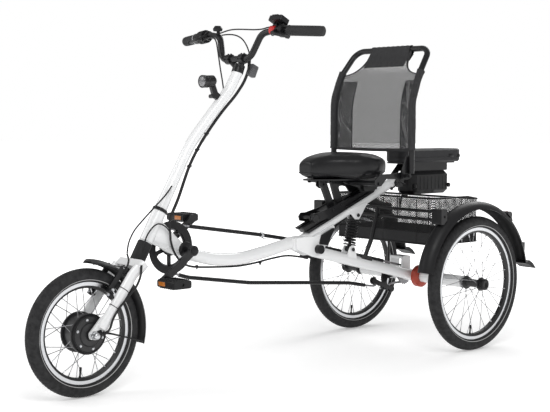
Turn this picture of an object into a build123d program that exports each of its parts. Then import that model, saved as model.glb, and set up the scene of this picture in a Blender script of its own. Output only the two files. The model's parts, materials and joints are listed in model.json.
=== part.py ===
from build123d import *
import os
from math import atan2, cos, degrees, hypot, pi, radians, sin, tan

# Adult electric tricycle: one steered front wheel with a hub motor, two rear wheels on a
# sprung arm, a low frame and a raised seat with a backrest.
# Millimetres. X points forward, Y to the rider's left, Z up; Z = 0 is the ground.
# The origin lies on the ground under the middle of the vehicle.

# ---------------------------------------------------------------- main sizes
WHEELBASE = 1506.0
TRACK = 618.0
TAIL_REACH = 342.0          # rear axle to the tip of the mud flaps
FRONT_TYRE_R = 199.5
REAR_TYRE_R = 250.0
TYRE_W = 47.0
FRONT_BEAD_R = FRONT_TYRE_R - TYRE_W
REAR_BEAD_R = REAR_TYRE_R - TYRE_W
RIM_W = 25.0
GAP = 0.3                   # between seated curved faces
RUN = 0.05                  # radial running clearance of shafts

REAR_X = -(WHEELBASE + FRONT_TYRE_R - TAIL_REACH) / 2
FRONT_X = REAR_X + WHEELBASE


def at(x, y, z):
    """Point measured ahead of the rear axle, to the left, and up from the ground."""
    return Vector(REAR_X + x, y, z)


def side(y=0.0):
    """Side plane at a place across the vehicle; its x runs forward from the rear axle."""
    return Plane(origin=(REAR_X, y, 0), x_dir=(1, 0, 0), z_dir=(0, -1, 0))


def radial(centre, angle):
    """Half plane through a wheel's axis; its x runs left and its y outward."""
    turn = radians(angle)
    return Plane(origin=centre, x_dir=(0, 1, 0), z_dir=(sin(turn), 0, -cos(turn)))


def tube(points, radius, bends=None, wall=None):
    """Round tube through the points, with tangent bends."""
    with BuildPart() as piece:
        with BuildLine() as route:
            if bends:
                FilletPolyline(*points, radius=bends)
            else:
                Line(*points)
        with BuildSketch(Plane(origin=route.line @ 0, z_dir=route.line % 0)):
            Circle(radius)
            if wall:
                Circle(radius - wall, mode=Mode.SUBTRACT)
        sweep(path=route.line)
    return piece.part


def rod(start, end, radius, end_radius=None):
    """Straight round bar, or a cone, from one point to another."""
    run = end - start
    with BuildPart() as piece:
        with BuildSketch(Plane(origin=start, z_dir=run)):
            Circle(radius)
        if end_radius is None:
            extrude(amount=run.length)
        else:
            with BuildSketch(Plane(origin=end, z_dir=run)):
                Circle(end_radius)
            loft()
    return piece.part


def across(x, z, y_start, y_end, radius):
    """Round bar that runs across the vehicle."""
    return rod(at(x, y_start, z), at(x, y_end, z), radius)


def plate(points, y_start, y_end, corner=None):
    """Flat plate cut from a side outline, standing between two places across the vehicle."""
    with BuildPart() as piece:
        with BuildSketch(side(y_end)) as face:
            with BuildLine():
                Polyline(*points, close=True)
            make_face()
            if corner:
                fillet(face.vertices(), corner)
        extrude(amount=y_end - y_start)
    return piece.part


def save(piece, name):
    """Write one sub-part."""
    piece.label = name
    export_step(piece, f"parts/{name}.step")


os.makedirs("parts", exist_ok=True)

# ---------------------------------------------------------------- steering axis
HEAD_LEAN = 30.0            # steering axis, back from upright
TRAIL = 33.0                # the axis meets the ground this far ahead of the front contact
AXIS_UP = Vector(-sin(radians(HEAD_LEAN)), 0, cos(radians(HEAD_LEAN)))
AXIS_FOOT = at(WHEELBASE + TRAIL, 0, 0)


def on_axis(height):
    """Point of the steering axis at a height above the ground."""
    return AXIS_FOOT + AXIS_UP * (height / AXIS_UP.Z)


CROWN_Z = 400.0
SLEEVE_TOP_Z = 464.0
HEAD_TOP_Z = 556.0
RING_TOP_Z = 566.0
STEERER_R = 14.3
HEAD_R = 23.0
SLEEVE_R = 22.0

# ---------------------------------------------------------------- wheels
RIM_LIP = 5.5               # rim wall above the bead seat
RIM_DEPTH = 14.0            # bead seat to the inner face of the rim
RIM_WALL = 2.5
RIM_INNER_W = 14.0
SIDEWALL = 6.0              # tyre wall just above the rim
SPOKE_R = 1.1
SPOKE_COUNT = 32
SPOKE_CROSS = 24.0          # how far a spoke leans round the hub, in degrees
AXLE_R = 6.0
FRONT_FLANGE_R = 63.5
FRONT_FLANGE_Y = 27.0
REAR_FLANGE_R = 25.0
REAR_FLANGE_Y = 33.0
MOTOR_R = 56.0


def tyre(centre, tyre_r, bead_r):
    """Solid tyre section that sits between the rim's walls."""
    seat_w = RIM_W - 2 * RIM_WALL - 2 * GAP
    lip_r = bead_r + RIM_LIP + GAP
    with BuildPart() as ring:
        with BuildSketch(radial(centre, 90)):
            with Locations((0, tyre_r - TYRE_W / 2)):
                Circle(TYRE_W / 2)
            with Locations((0, lip_r)):
                Rectangle(TYRE_W, TYRE_W, align=(Align.CENTER, Align.MAX), mode=Mode.SUBTRACT)
            with Locations((0, bead_r + GAP)):
                Rectangle(seat_w, RIM_LIP + SIDEWALL, align=(Align.CENTER, Align.MIN))
        revolve(axis=Axis(centre, (0, 1, 0)))
    return ring.part


def rim(centre, bead_r):
    """Aluminium rim with a bead seat, braking walls and a tapered inner part."""
    lip_r = bead_r + RIM_LIP
    wall_foot_r = bead_r - RIM_LIP
    inner_r = bead_r - RIM_DEPTH
    half = RIM_W / 2
    with BuildPart() as ring:
        with BuildSketch(radial(centre, 90)):
            with BuildLine():
                Polyline(
                    (-half, lip_r), (-half, wall_foot_r), (-RIM_INNER_W / 2, inner_r),
                    (RIM_INNER_W / 2, inner_r), (half, wall_foot_r), (half, lip_r),
                    (half - RIM_WALL, lip_r), (half - RIM_WALL, bead_r),
                    (RIM_WALL - half, bead_r), (RIM_WALL - half, lip_r), close=True,
                )
            make_face()
        revolve(axis=Axis(centre, (0, 1, 0)))
    return ring.part


def spokes(centre, flange_r, flange_y, bead_r):
    """Crossed wire spokes from both hub flanges to just inside the rim."""
    rim_r = bead_r - RIM_DEPTH - 2 * GAP
    root_r = flange_r - 3 * SPOKE_R
    step = 360.0 / SPOKE_COUNT
    pieces = []
    for number in range(SPOKE_COUNT):
        flank = 1 if number % 2 else -1
        lean = SPOKE_CROSS if number % 4 < 2 else -SPOKE_CROSS
        foot = radians(number * step + lean)
        tip = radians(number * step)
        start = centre + Vector(root_r * cos(foot), flank * flange_y, root_r * sin(foot))
        end = centre + Vector(rim_r * cos(tip), flank * SPOKE_R * 2, rim_r * sin(tip))
        pieces.append(rod(start, end, SPOKE_R))
    return pieces


FRONT_HUB = Vector(FRONT_X, 0, FRONT_TYRE_R)
MOTOR_PROFILE = [            # distance left of the wheel's middle, radius
    (0, MOTOR_R), (FRONT_FLANGE_Y - 3, MOTOR_R), (FRONT_FLANGE_Y - 2, FRONT_FLANGE_R),
    (FRONT_FLANGE_Y + 2, FRONT_FLANGE_R), (FRONT_FLANGE_Y + 3, 58), (38, 54), (40, 36),
    (43, 34), (44, 15), (48, 15), (48, AXLE_R + RUN), (0, AXLE_R + RUN),
]
with BuildPart() as front_hub:
    with BuildSketch(radial(FRONT_HUB, 90)):
        with BuildLine():
            Polyline(*MOTOR_PROFILE, close=True)
        make_face()
        mirror(about=Plane.YZ)
    revolve(axis=Axis(FRONT_HUB, (0, 1, 0)))
for wire in spokes(FRONT_HUB, FRONT_FLANGE_R, FRONT_FLANGE_Y, FRONT_BEAD_R):
    with front_hub:
        add(wire)
save(front_hub.part, "front_hub")
save(tyre(FRONT_HUB, FRONT_TYRE_R, FRONT_BEAD_R), "front_tyre")
save(rim(FRONT_HUB, FRONT_BEAD_R), "front_rim")

HUB_INNER = 42.0            # half length of a rear hub
HUB_END_R = 17.0
HUB_WAIST_R = 15.0


def rear_wheel(sign, name):
    """Tyre, rim and spoked hub of one rear wheel; the sign gives its side."""
    centre = at(0, sign * TRACK / 2, REAR_TYRE_R)
    with BuildPart() as hub:
        with BuildSketch(radial(centre, 90)):
            with BuildLine():
                Polyline(
                    (-HUB_INNER, HUB_END_R), (-REAR_FLANGE_Y - 4, HUB_END_R),
                    (-REAR_FLANGE_Y - 2, REAR_FLANGE_R), (-REAR_FLANGE_Y + 1, REAR_FLANGE_R),
                    (-REAR_FLANGE_Y + 5, HUB_WAIST_R), (REAR_FLANGE_Y - 5, HUB_WAIST_R),
                    (REAR_FLANGE_Y - 1, REAR_FLANGE_R), (REAR_FLANGE_Y + 2, REAR_FLANGE_R),
                    (REAR_FLANGE_Y + 4, HUB_END_R), (HUB_INNER, HUB_END_R),
                    (HUB_INNER, AXLE_R + RUN), (-HUB_INNER, AXLE_R + RUN), close=True,
                )
            make_face()
        revolve(axis=Axis(centre, (0, 1, 0)))
    for wire in spokes(centre, REAR_FLANGE_R, REAR_FLANGE_Y, REAR_BEAD_R):
        with hub:
            add(wire)
    save(hub.part, f"{name}_hub")
    save(tyre(centre, REAR_TYRE_R, REAR_BEAD_R), f"{name}_tyre")
    save(rim(centre, REAR_BEAD_R), f"{name}_rim")


rear_wheel(1, "rear_left")
rear_wheel(-1, "rear_right")

# ---------------------------------------------------------------- fork and steering column
LEG_Y = 58.0
DROPOUT_Y = 54.0
DROPOUT_T = 7.0
LEG_DEPTH_R = 18.0
LEG_SIDE_R = 11.5
LEG_TOP = (1340.0, 392.0)
LEG_KNEE = (1362.0, 372.0)
LEG_FOOT = (1478.0, 216.0)
COLUMN_FOOT_R = 21.0
COLUMN_START_Z = 700.0
COLUMN_R = 18.0
COLUMN_BEND = (1092.0, 775.0)
COLUMN_ELBOW = (925.0, 955.0)
COLUMN_END = (882.0, 1026.0)


def fork_leg(sign):
    """Oval leg that sweeps forward from the crown to the dropout."""
    top = at(LEG_TOP[0], sign * LEG_Y, LEG_TOP[1])
    knee = at(LEG_KNEE[0], sign * LEG_Y, LEG_KNEE[1])
    foot = at(LEG_FOOT[0], sign * LEG_Y, LEG_FOOT[1])
    with BuildPart() as leg:
        with BuildLine() as route:
            FilletPolyline(top, knee, foot, radius=60)
        with BuildSketch(Plane(origin=route.line @ 0, x_dir=(0, 1, 0), z_dir=route.line % 0)):
            Ellipse(LEG_SIDE_R, LEG_DEPTH_R)
        sweep(path=route.line)
    return leg.part


def dropout(sign):
    """Flat end of a fork leg, where the wheel's axle sits."""
    return plate(
        [(1452, 262), (1478, 250), (1520, 206), (1518, 188), (1498, 184), (1450, 228)],
        sign * DROPOUT_Y - DROPOUT_T / 2, sign * DROPOUT_Y + DROPOUT_T / 2, 5,
    )


legs = [fork_leg(-1), fork_leg(1), dropout(-1), dropout(1)]
neck = rod(on_axis(CROWN_Z - 8), on_axis(SLEEVE_TOP_Z), SLEEVE_R)
steerer = rod(on_axis(SLEEVE_TOP_Z), on_axis(RING_TOP_Z + 20), STEERER_R)
axle = across(WHEELBASE, FRONT_TYRE_R, -DROPOUT_Y - 16, DROPOUT_Y + 16, AXLE_R)
with BuildPart() as fork:
    with BuildSketch(Plane(origin=at(1327, 0, 394), x_dir=(0, 1, 0), z_dir=(0.75, 0, -0.66))):
        RectangleRounded(2 * (LEG_Y + LEG_SIDE_R), 34, 14)
    extrude(amount=14, both=True)
    add([neck, steerer, axle] + legs)
save(fork.part, "fork")

column_run = tube(
    [on_axis(COLUMN_START_Z - 10), at(COLUMN_BEND[0], 0, COLUMN_BEND[1]), at(COLUMN_ELBOW[0], 0, COLUMN_ELBOW[1]),
     at(COLUMN_END[0], 0, COLUMN_END[1])],
    COLUMN_R, [420, 110],
)
column_foot = rod(on_axis(RING_TOP_Z - 4), on_axis(COLUMN_START_Z), COLUMN_FOOT_R, COLUMN_R + 0.6)
column_ring = rod(on_axis(HEAD_TOP_Z + 1), on_axis(RING_TOP_Z), HEAD_R + 1)
column_bore = rod(on_axis(HEAD_TOP_Z - 5), on_axis(RING_TOP_Z + 20), STEERER_R + RUN)
with BuildPart() as column:
    add([column_run, column_foot, column_ring])
    add(column_bore, mode=Mode.SUBTRACT)
save(column.part, "steering_column")

# ---------------------------------------------------------------- handlebar
BAR_R = 11.0
BAR_X = 896.0
BAR_Z = 1056.0
BAR_RISE = (877.0, 108.0, 1136.0)
BAR_BEND = (871.0, 165.0, 1145.0)
BAR_END = (835.5, 350.0, 1134.0)
CLAMP_Y = 34.0
CLAMP_W = 22.0
CLAMP_R = 17.0
GRIP_R = 16.0
GRIP_LEFT_L = 128.0
GRIP_RIGHT_L = 76.0         # shorter, beside the twist shifter


def bar_half(sign):
    """Points of one half of the handlebar, from the middle out."""
    return [
        at(BAR_X, sign * 72, BAR_Z),
        at(BAR_RISE[0], sign * BAR_RISE[1], BAR_RISE[2]),
        at(BAR_BEND[0], sign * BAR_BEND[1], BAR_BEND[2]),
        at(BAR_END[0], sign * BAR_END[1], BAR_END[2]),
    ]


handlebar_solid = tube(bar_half(-1)[::-1] + bar_half(1), BAR_R, [60, 35, 35, 35, 35, 60])
save(handlebar_solid, "handlebar")


def bar_point(sign, y):
    """Point on the straight outer part of the bar at a distance from the middle."""
    start = at(BAR_BEND[0], sign * BAR_BEND[1], BAR_BEND[2])
    end = at(BAR_END[0], sign * BAR_END[1], BAR_END[2])
    return start + (end - start) * ((y - BAR_BEND[1]) / (BAR_END[1] - BAR_BEND[1]))


def bar_sleeve(sign, y_start, y_end, radius, closed=0.0):
    """Sleeve on the outer part of the bar; closed adds a cap past the bar's end."""
    start = bar_point(sign, y_start)
    end = bar_point(sign, y_end)
    along = (end - start).normalized()
    with BuildPart() as sleeve:
        add(rod(start, end + along * closed, radius))
        add(rod(start - along, end, BAR_R + RUN), mode=Mode.SUBTRACT)
    return sleeve.part


with BuildPart() as grips:
    add(bar_sleeve(-1, BAR_END[1] - GRIP_RIGHT_L, BAR_END[1], GRIP_R, closed=4))
    add(bar_sleeve(1, BAR_END[1] - GRIP_LEFT_L, BAR_END[1], GRIP_R, closed=4))
save(grips.part, "grips")

clamp_pieces = []
for sign in (-1, 1):
    clamp_pieces.append(across(
        BAR_X, BAR_Z, sign * CLAMP_Y - CLAMP_W / 2, sign * CLAMP_Y + CLAMP_W / 2, CLAMP_R))
    clamp_pieces.append(rod(at(COLUMN_END[0], 0, COLUMN_END[1] - 6), at(BAR_X, sign * CLAMP_Y, BAR_Z), 11))
stem_root = rod(
    at(COLUMN_END[0], 0, COLUMN_END[1]) - Vector(-10, 0, 16.5), at(COLUMN_END[0], 0, COLUMN_END[1] + 10), 20)
bar_hole = across(BAR_X, BAR_Z, -CLAMP_Y - CLAMP_W, CLAMP_Y + CLAMP_W, BAR_R + RUN)
with BuildPart() as stem:
    add([stem_root] + clamp_pieces)
    add(bar_hole, mode=Mode.SUBTRACT)
    add(column.part, mode=Mode.SUBTRACT)
save(stem.part, "stem")

# ---------------------------------------------------------------- main frame
BB = (1140.0, 433.0)        # bottom bracket, ahead of the rear axle and up
BB_SHELL_R = 21.0
BB_SHELL_W = 72.0
SPINDLE_R = 9.0
MAIN_R = 21.5
HEAD_JOIN_Z = 505.0
PIVOT = (536.0, 391.0)
PIVOT_R = 17.0
PIVOT_PIN_R = 8.0
PIVOT_W = 64.0
EAR_Y = 22.0                # inner face of the ears that hold the rear arm
EAR_T = 6.0
BEAM_R = 18.0
BEAM_FOOT = (603.0, 420.9)
BEAM_TOP = (101.0, 622.9)
SHOCK_TOP = (324.0, 502.0)
SHOCK_FOOT = (349.0, 376.0)
SHOCK_PIN_R = 4.0
SHOCK_EAR_Y = 17.0

head_tube = rod(on_axis(SLEEVE_TOP_Z + 1), on_axis(HEAD_TOP_Z), HEAD_R)
head_bore = rod(on_axis(SLEEVE_TOP_Z - 5), on_axis(HEAD_TOP_Z + 5), STEERER_R + RUN)
main_tube = tube(
    [at(1190, 0, 450), at(1120, 0, 418), at(1000, 0, 388), at(880, 0, 379), at(760, 0, 397),
     at(655, 0, 416), at(565, 0, 420)],
    MAIN_R, [150, 300, 420, 420, 300],
)
with BuildPart() as head_gusset:
    with BuildSketch(Plane(origin=on_axis(HEAD_JOIN_Z), x_dir=(0, 1, 0), z_dir=(-0.87, 0, -0.5))):
        Ellipse(19, 44)
    with BuildSketch(Plane(origin=at(1120, 0, 418), x_dir=(0, 1, 0), z_dir=(-0.94, 0, -0.33))):
        Circle(MAIN_R)
    loft()
beam = rod(at(BEAM_FOOT[0], 0, BEAM_FOOT[1]), at(BEAM_TOP[0], 0, BEAM_TOP[1]), BEAM_R)
rear_web = plate(
    [(650, 436), (600, 440), (556, 438), (520, 449), (455, 474), (440, 462), (505, 432), (558, 416), (580, 385), (650, 395)],
    -EAR_Y - 0.5, EAR_Y + 0.5, 8,
)
pivot_ear_outline = [
    (640, 398), (640, 435), (600, 439), (556, 437), (520, 446), (486, 424), (505, 384), (528, 366), (562, 366)]
pivot_ears = [
    plate(pivot_ear_outline, min(sign * EAR_Y, sign * (EAR_Y + EAR_T)), max(sign * EAR_Y, sign * (EAR_Y + EAR_T)), 8)
    for sign in (-1, 1)
]
pivot_hole = across(PIVOT[0], PIVOT[1], -PIVOT_W, PIVOT_W, PIVOT_PIN_R + RUN)
bb_shell = across(BB[0], BB[1], -BB_SHELL_W / 2, BB_SHELL_W / 2, BB_SHELL_R)
bb_hole = across(BB[0], BB[1], -BB_SHELL_W, BB_SHELL_W, SPINDLE_R + RUN)
shock_ear_outline = [(368, 524), (352, 504), (336, 487), (316, 486), (286, 526), (266, 552)]
ears = [plate(shock_ear_outline, y - 2.5, y + 2.5, 4) for y in (-SHOCK_EAR_Y, SHOCK_EAR_Y)]
shock_top_hole = across(SHOCK_TOP[0], SHOCK_TOP[1], -40, 40, SHOCK_PIN_R + RUN)
with BuildPart() as main_frame:
    add([head_tube, main_tube, head_gusset.part, beam, rear_web, bb_shell] + pivot_ears + ears)
    add([head_bore, bb_hole, pivot_hole, shock_top_hole], mode=Mode.SUBTRACT)
save(main_frame.part, "main_frame")

# ---------------------------------------------------------------- rear arm and axle
ARM_R = 21.0
HOUSING_R = 22.5
HOUSING_END = TRACK / 2 - 51
ARM_FRONT = (530.0, 381.0)
ARM_REAR = (10.0, 253.0)
CASE_RIGHT_Y = -32.0        # the middle housing ends here, beside the sprockets
BRIDGE_Y = -84.0            # and here on the right of the sprockets
arm_tube = tube([at(ARM_FRONT[0], 0, ARM_FRONT[1]), at(ARM_REAR[0], 0, ARM_REAR[1])], ARM_R)
arm_barrel = across(PIVOT[0], PIVOT[1], 0.3 - EAR_Y, EAR_Y - 0.3, PIVOT_R)
housings = [
    across(0, REAR_TYRE_R, CASE_RIGHT_Y, HOUSING_END, HOUSING_R),
    across(0, REAR_TYRE_R, -HOUSING_END, BRIDGE_Y, HOUSING_R),
]
bridge_outline = [(-24, 236), (-24, 322), (24, 322), (24, 236), (0, 228)]
bridge = [
    plate(bridge_outline, BRIDGE_Y - 6, BRIDGE_Y, 6),
    plate([(-24, 312), (-24, 322), (24, 322), (24, 312)], BRIDGE_Y - 3, CASE_RIGHT_Y + 3),
    plate(bridge_outline, CASE_RIGHT_Y, CASE_RIGHT_Y + 6, 6),
]
axle_hole = across(0, REAR_TYRE_R, -HOUSING_END - 5, HOUSING_END + 5, AXLE_R + RUN)
foot_ear_outline = [(374, 346), (366, 376), (358, 388), (341, 388), (332, 374), (326, 338)]
foot_ears = [plate(foot_ear_outline, y - 2.5, y + 2.5, 4) for y in (-SHOCK_EAR_Y, SHOCK_EAR_Y)]
foot_hole = across(SHOCK_FOOT[0], SHOCK_FOOT[1], -40, 40, SHOCK_PIN_R + RUN)
with BuildPart() as rear_arm:
    add([arm_tube, arm_barrel] + housings + bridge + foot_ears)
    add([axle_hole, foot_hole, pivot_hole], mode=Mode.SUBTRACT)
save(rear_arm.part, "rear_arm")

# axle through the housing and both hubs, with spacers and end nuts
AXLE_END = TRACK / 2 + 51
hub_inner_y = TRACK / 2 - HUB_INNER
hub_outer_y = TRACK / 2 + HUB_INNER
with BuildPart() as rear_axle:
    add(across(0, REAR_TYRE_R, -AXLE_END, AXLE_END, AXLE_R))
    for sign in (-1, 1):
        add(across(0, REAR_TYRE_R, min(sign * HOUSING_END, sign * (hub_inner_y - GAP)),
                   max(sign * HOUSING_END, sign * (hub_inner_y - GAP)), HUB_WAIST_R))
        add(across(0, REAR_TYRE_R, min(sign * (hub_outer_y + GAP), sign * AXLE_END),
                   max(sign * (hub_outer_y + GAP), sign * AXLE_END), 12))
save(rear_axle.part, "rear_axle")

# pivot bolt with its round caps, and the stop plates outside the ears
CAP_R = 16.0
CAP_LEFT_Y = 47.0
CAP_RIGHT_Y = -39.0
ear_face = EAR_Y + EAR_T
stop_outline = [(531, 409), (521, 441), (451, 469), (491, 402)]
with BuildPart() as pivot_bolt:
    add(across(PIVOT[0], PIVOT[1], CAP_RIGHT_Y, CAP_LEFT_Y, PIVOT_PIN_R))
    add(across(PIVOT[0], PIVOT[1], ear_face, CAP_LEFT_Y, CAP_R))
    add(across(PIVOT[0], PIVOT[1], CAP_RIGHT_Y, -ear_face, CAP_R))
with BuildPart() as pivot_fittings:
    add(pivot_bolt.part)
    add(plate(stop_outline, ear_face, ear_face + 5, 5))
    add(plate(stop_outline, -ear_face - 5, -ear_face, 5))
save(pivot_fittings.part, "pivot_fittings")

# coil-over shock absorber
SHOCK_EYE_R = 9.0
SHOCK_EYE_W = 26.0
SPRING_R = 20.0
SPRING_WIRE_R = 3.6
SPRING_TURNS = 7
shock_top = at(SHOCK_TOP[0], 0, SHOCK_TOP[1])
shock_foot = at(SHOCK_FOOT[0], 0, SHOCK_FOOT[1])
shock_run = shock_foot - shock_top
shock_dir = shock_run.normalized()


def down_shock(distance):
    """Point on the shock's axis, measured from its upper eye."""
    return shock_top + shock_dir * distance


SPRING_START = 24.0
SPRING_END = shock_run.length - 20.0
shock_pieces = [
    across(SHOCK_TOP[0], SHOCK_TOP[1], -SHOCK_EYE_W / 2, SHOCK_EYE_W / 2, SHOCK_EYE_R),
    across(SHOCK_FOOT[0], SHOCK_FOOT[1], -SHOCK_EYE_W / 2, SHOCK_EYE_W / 2, SHOCK_EYE_R),
    across(SHOCK_TOP[0], SHOCK_TOP[1], -SHOCK_EAR_Y - 6, SHOCK_EAR_Y + 6, SHOCK_PIN_R),
    across(SHOCK_FOOT[0], SHOCK_FOOT[1], -SHOCK_EAR_Y - 6, SHOCK_EAR_Y + 6, SHOCK_PIN_R),
    rod(shock_top, down_shock(SPRING_START), 8),
    rod(down_shock(SPRING_START - 5), down_shock(SPRING_START), 24),
    rod(down_shock(SPRING_START), down_shock(shock_run.length * 0.62), 12),
    rod(down_shock(shock_run.length * 0.5), down_shock(SPRING_END), 6),
    rod(down_shock(SPRING_END), down_shock(SPRING_END + 5), 24),
    rod(down_shock(SPRING_END), shock_foot, 8),
]
with BuildPart() as shock:
    add(shock_pieces)
save(shock.part, "shock_absorber")

spring_room = SPRING_END - SPRING_START - 2 * SPRING_WIRE_R - 2 * GAP
with BuildPart() as spring:
    with BuildLine():
        coil = Helix(pitch=spring_room / SPRING_TURNS, height=spring_room, radius=SPRING_R)
    with BuildSketch(Plane(origin=coil @ 0, z_dir=coil % 0)):
        RegularPolygon(SPRING_WIRE_R, 6)
    sweep(path=coil, is_frenet=True)
spring_seat = Plane(origin=down_shock(SPRING_START + SPRING_WIRE_R + GAP), x_dir=(0, 1, 0), z_dir=shock_dir)
save(spring_seat.location * spring.part, "shock_spring")

# ---------------------------------------------------------------- cranks and pedals
CRANK_L = 150.0
CRANK_ANGLE = -36.5         # left crank, measured from straight ahead
CRANK_Y = 71.0              # inner face of the crank arms
CRANK_T = 13.0
CRANK_R = 13.0
PEDAL_PIN_R = 5.0
PEDAL_Y = 92.0
PEDAL_W = 90.0
PEDAL_L = 66.0
PEDAL_T = 25.0
CHAIN_Y = -50.0
CHAIN_PITCH = 12.7
RING_TEETH = 38
RING_T = 2.0
TOOTH_GAP = 3.2             # from the pitch circle down to the tooth tips, clear of the rollers
TOOTH_H = 4.5
BOLT_CIRCLE_R = 62.0
SPIDER_ARMS = 5


def pitch_radius(teeth):
    """Pitch radius of a sprocket for the chain."""
    return CHAIN_PITCH / (2 * sin(pi / teeth))


def toothed(x, z, y_start, y_end, teeth, tip_r, bore_r):
    """Toothed disc that stands across the vehicle."""
    root_r = tip_r - TOOTH_H
    step = 360 / teeth
    with BuildPart() as disc:
        with BuildSketch(side(y_end)):
            with Locations((x, z)):
                Circle(root_r)
                with PolarLocations(root_r - 1, teeth, start_angle=step / 2):
                    Trapezoid(
                        2 * TOOTH_H, TOOTH_H + 1, 62, rotation=-90, align=(Align.CENTER, Align.MIN))
                Circle(bore_r, mode=Mode.SUBTRACT)
        extrude(amount=y_end - y_start)
    return disc.part


def crank_end(sign):
    """Pedal axis of one crank: x ahead of the rear axle and height."""
    turn = radians(CRANK_ANGLE)
    return BB[0] + sign * CRANK_L * cos(turn), BB[1] + sign * CRANK_L * sin(turn)


def crank_arm(sign):
    """Flat crank arm with round ends and the pedal's pin."""
    end_x, end_z = crank_end(sign)
    y_in = sign * CRANK_Y
    y_out = sign * (CRANK_Y + CRANK_T)
    with BuildPart() as arm:
        with BuildSketch(side(max(y_in, y_out))):
            with Locations(BB):
                Circle(CRANK_R + 4)
            with Locations((end_x, end_z)):
                Circle(CRANK_R)
            with BuildLine():
                lean = radians(CRANK_ANGLE)
                off = Vector(-sin(lean), cos(lean)) * (CRANK_R - 1.5)
                root = Vector(BB[0], BB[1])
                tip = Vector(end_x, end_z)
                Polyline(root + off, tip + off, tip - off, root - off, close=True)
            make_face()
        extrude(amount=CRANK_T)
        add(across(end_x, end_z, min(y_in, sign * (PEDAL_Y + PEDAL_W - 4)),
                   max(y_in, sign * (PEDAL_Y + PEDAL_W - 4)), PEDAL_PIN_R))
    return arm.part


SPIDER_Y = CHAIN_Y - RING_T / 2
with BuildPart() as crankset:
    add(across(BB[0], BB[1], -CRANK_Y - CRANK_T, CRANK_Y + CRANK_T, SPINDLE_R))
    add([crank_arm(-1), crank_arm(1)])
    add(across(BB[0], BB[1], -CRANK_Y, SPIDER_Y, CRANK_R + 4))
    with BuildSketch(side(SPIDER_Y)):
        with Locations(BB):
            Circle(26)
            with PolarLocations(BOLT_CIRCLE_R / 2, SPIDER_ARMS, start_angle=CRANK_ANGLE + 18):
                Rectangle(BOLT_CIRCLE_R, 13)
            with PolarLocations(BOLT_CIRCLE_R, SPIDER_ARMS, start_angle=CRANK_ANGLE + 18):
                Circle(6.5)
    extrude(amount=5)
save(crankset.part, "crankset")

save(toothed(BB[0], BB[1], SPIDER_Y, SPIDER_Y + RING_T, RING_TEETH,
             pitch_radius(RING_TEETH) - TOOTH_GAP, BOLT_CIRCLE_R - 5), "chainring")

GUARD_Y = -43.0
GUARD_T = 2.5
with BuildPart() as chain_guard:
    with BuildSketch(side(GUARD_Y + GUARD_T)):
        with Locations(BB):
            Circle(pitch_radius(RING_TEETH) + 11)
            Circle(BOLT_CIRCLE_R, mode=Mode.SUBTRACT)
            with PolarLocations(BOLT_CIRCLE_R, SPIDER_ARMS, start_angle=CRANK_ANGLE + 18):
                Circle(6.5)
    extrude(amount=GUARD_T)
    with BuildSketch(side(GUARD_Y)):
        with Locations(BB):
            with PolarLocations(BOLT_CIRCLE_R, SPIDER_ARMS, start_angle=CRANK_ANGLE + 18):
                Circle(4.5)
    extrude(amount=GUARD_Y - SPIDER_Y - RING_T)
save(chain_guard.part, "chain_guard")


def pedal(sign, name):
    """Platform pedal: two side bars joined by end plates and a barrel round the pin."""
    end_x, end_z = crank_end(sign)
    y_in = min(sign * PEDAL_Y, sign * (PEDAL_Y + PEDAL_W))
    with BuildPart() as body:
        with BuildSketch(side(y_in + PEDAL_W)):
            with Locations((end_x, end_z)):
                RectangleRounded(PEDAL_L, PEDAL_T, 7)
        extrude(amount=PEDAL_W)
        with BuildSketch(Plane(origin=at(end_x, y_in + PEDAL_W / 2, end_z - PEDAL_T), x_dir=(1, 0, 0), z_dir=(0, 0, 1))):
            with Locations((PEDAL_L / 4 - 1.5, 0), (1.5 - PEDAL_L / 4, 0)):
                RectangleRounded(PEDAL_L / 2 - 19, PEDAL_W - 20, 3)
        extrude(amount=2 * PEDAL_T, mode=Mode.SUBTRACT)
        add(across(end_x, end_z, y_in - 1, y_in + PEDAL_W + 1, PEDAL_PIN_R + RUN), mode=Mode.SUBTRACT)
    save(body.part, name)


pedal(1, "pedal_left")
pedal(-1, "pedal_right")

# ---------------------------------------------------------------- chain, sprockets and chain tubes
COG_TEETH = [22, 20, 18, 16, 14, 12, 11]
COG_STEP = 5.0
DRIVE_COG = 3               # the cog that the chain runs on
COG_T = 1.8
PULLEY_TEETH = 10
GUIDE_PULLEY = (62.0, 196.0)
TENSION_PULLEY = (162.0, 236.0)
CHAIN_TUBE_R = 6.8
CHAIN_BORE_R = 5.6
UPPER_TUBE = [(1057, 498), (747, 451), (608, 426), (110, 309.2)]
LOWER_TUBE = [(1100, 338), (1060, 326.5), (793, 285), (503, 259), (294, 239), (212, 223)]

cassette_hub = across(0, REAR_TYRE_R, BRIDGE_Y + 2, CASE_RIGHT_Y - 2, 13)
with BuildPart() as cassette:
    add(cassette_hub)
    for number, teeth in enumerate(COG_TEETH):
        cog_y = CHAIN_Y + (DRIVE_COG - number) * COG_STEP
        add(toothed(0, REAR_TYRE_R, cog_y - COG_T / 2, cog_y + COG_T / 2, teeth,
                    pitch_radius(teeth) - TOOTH_GAP, AXLE_R + 4))
    add(across(0, REAR_TYRE_R, BRIDGE_Y, CASE_RIGHT_Y, AXLE_R + RUN), mode=Mode.SUBTRACT)
save(cassette.part, "cassette")


def tube_route(points):
    return [at(x, CHAIN_Y, z) for x, z in points]


with BuildPart() as chain_tubes:
    add(tube(tube_route(UPPER_TUBE), CHAIN_TUBE_R, [300, 300], CHAIN_TUBE_R - CHAIN_BORE_R))
    add(tube(tube_route(LOWER_TUBE), CHAIN_TUBE_R, [150, 300, 300, 200], CHAIN_TUBE_R - CHAIN_BORE_R))
save(chain_tubes.part, "chain_tubes")


def touch_angle(slope, above):
    """Where a line of this slope touches a wheel, as an angle round it."""
    return slope + 90 if above else slope - 90


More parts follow.
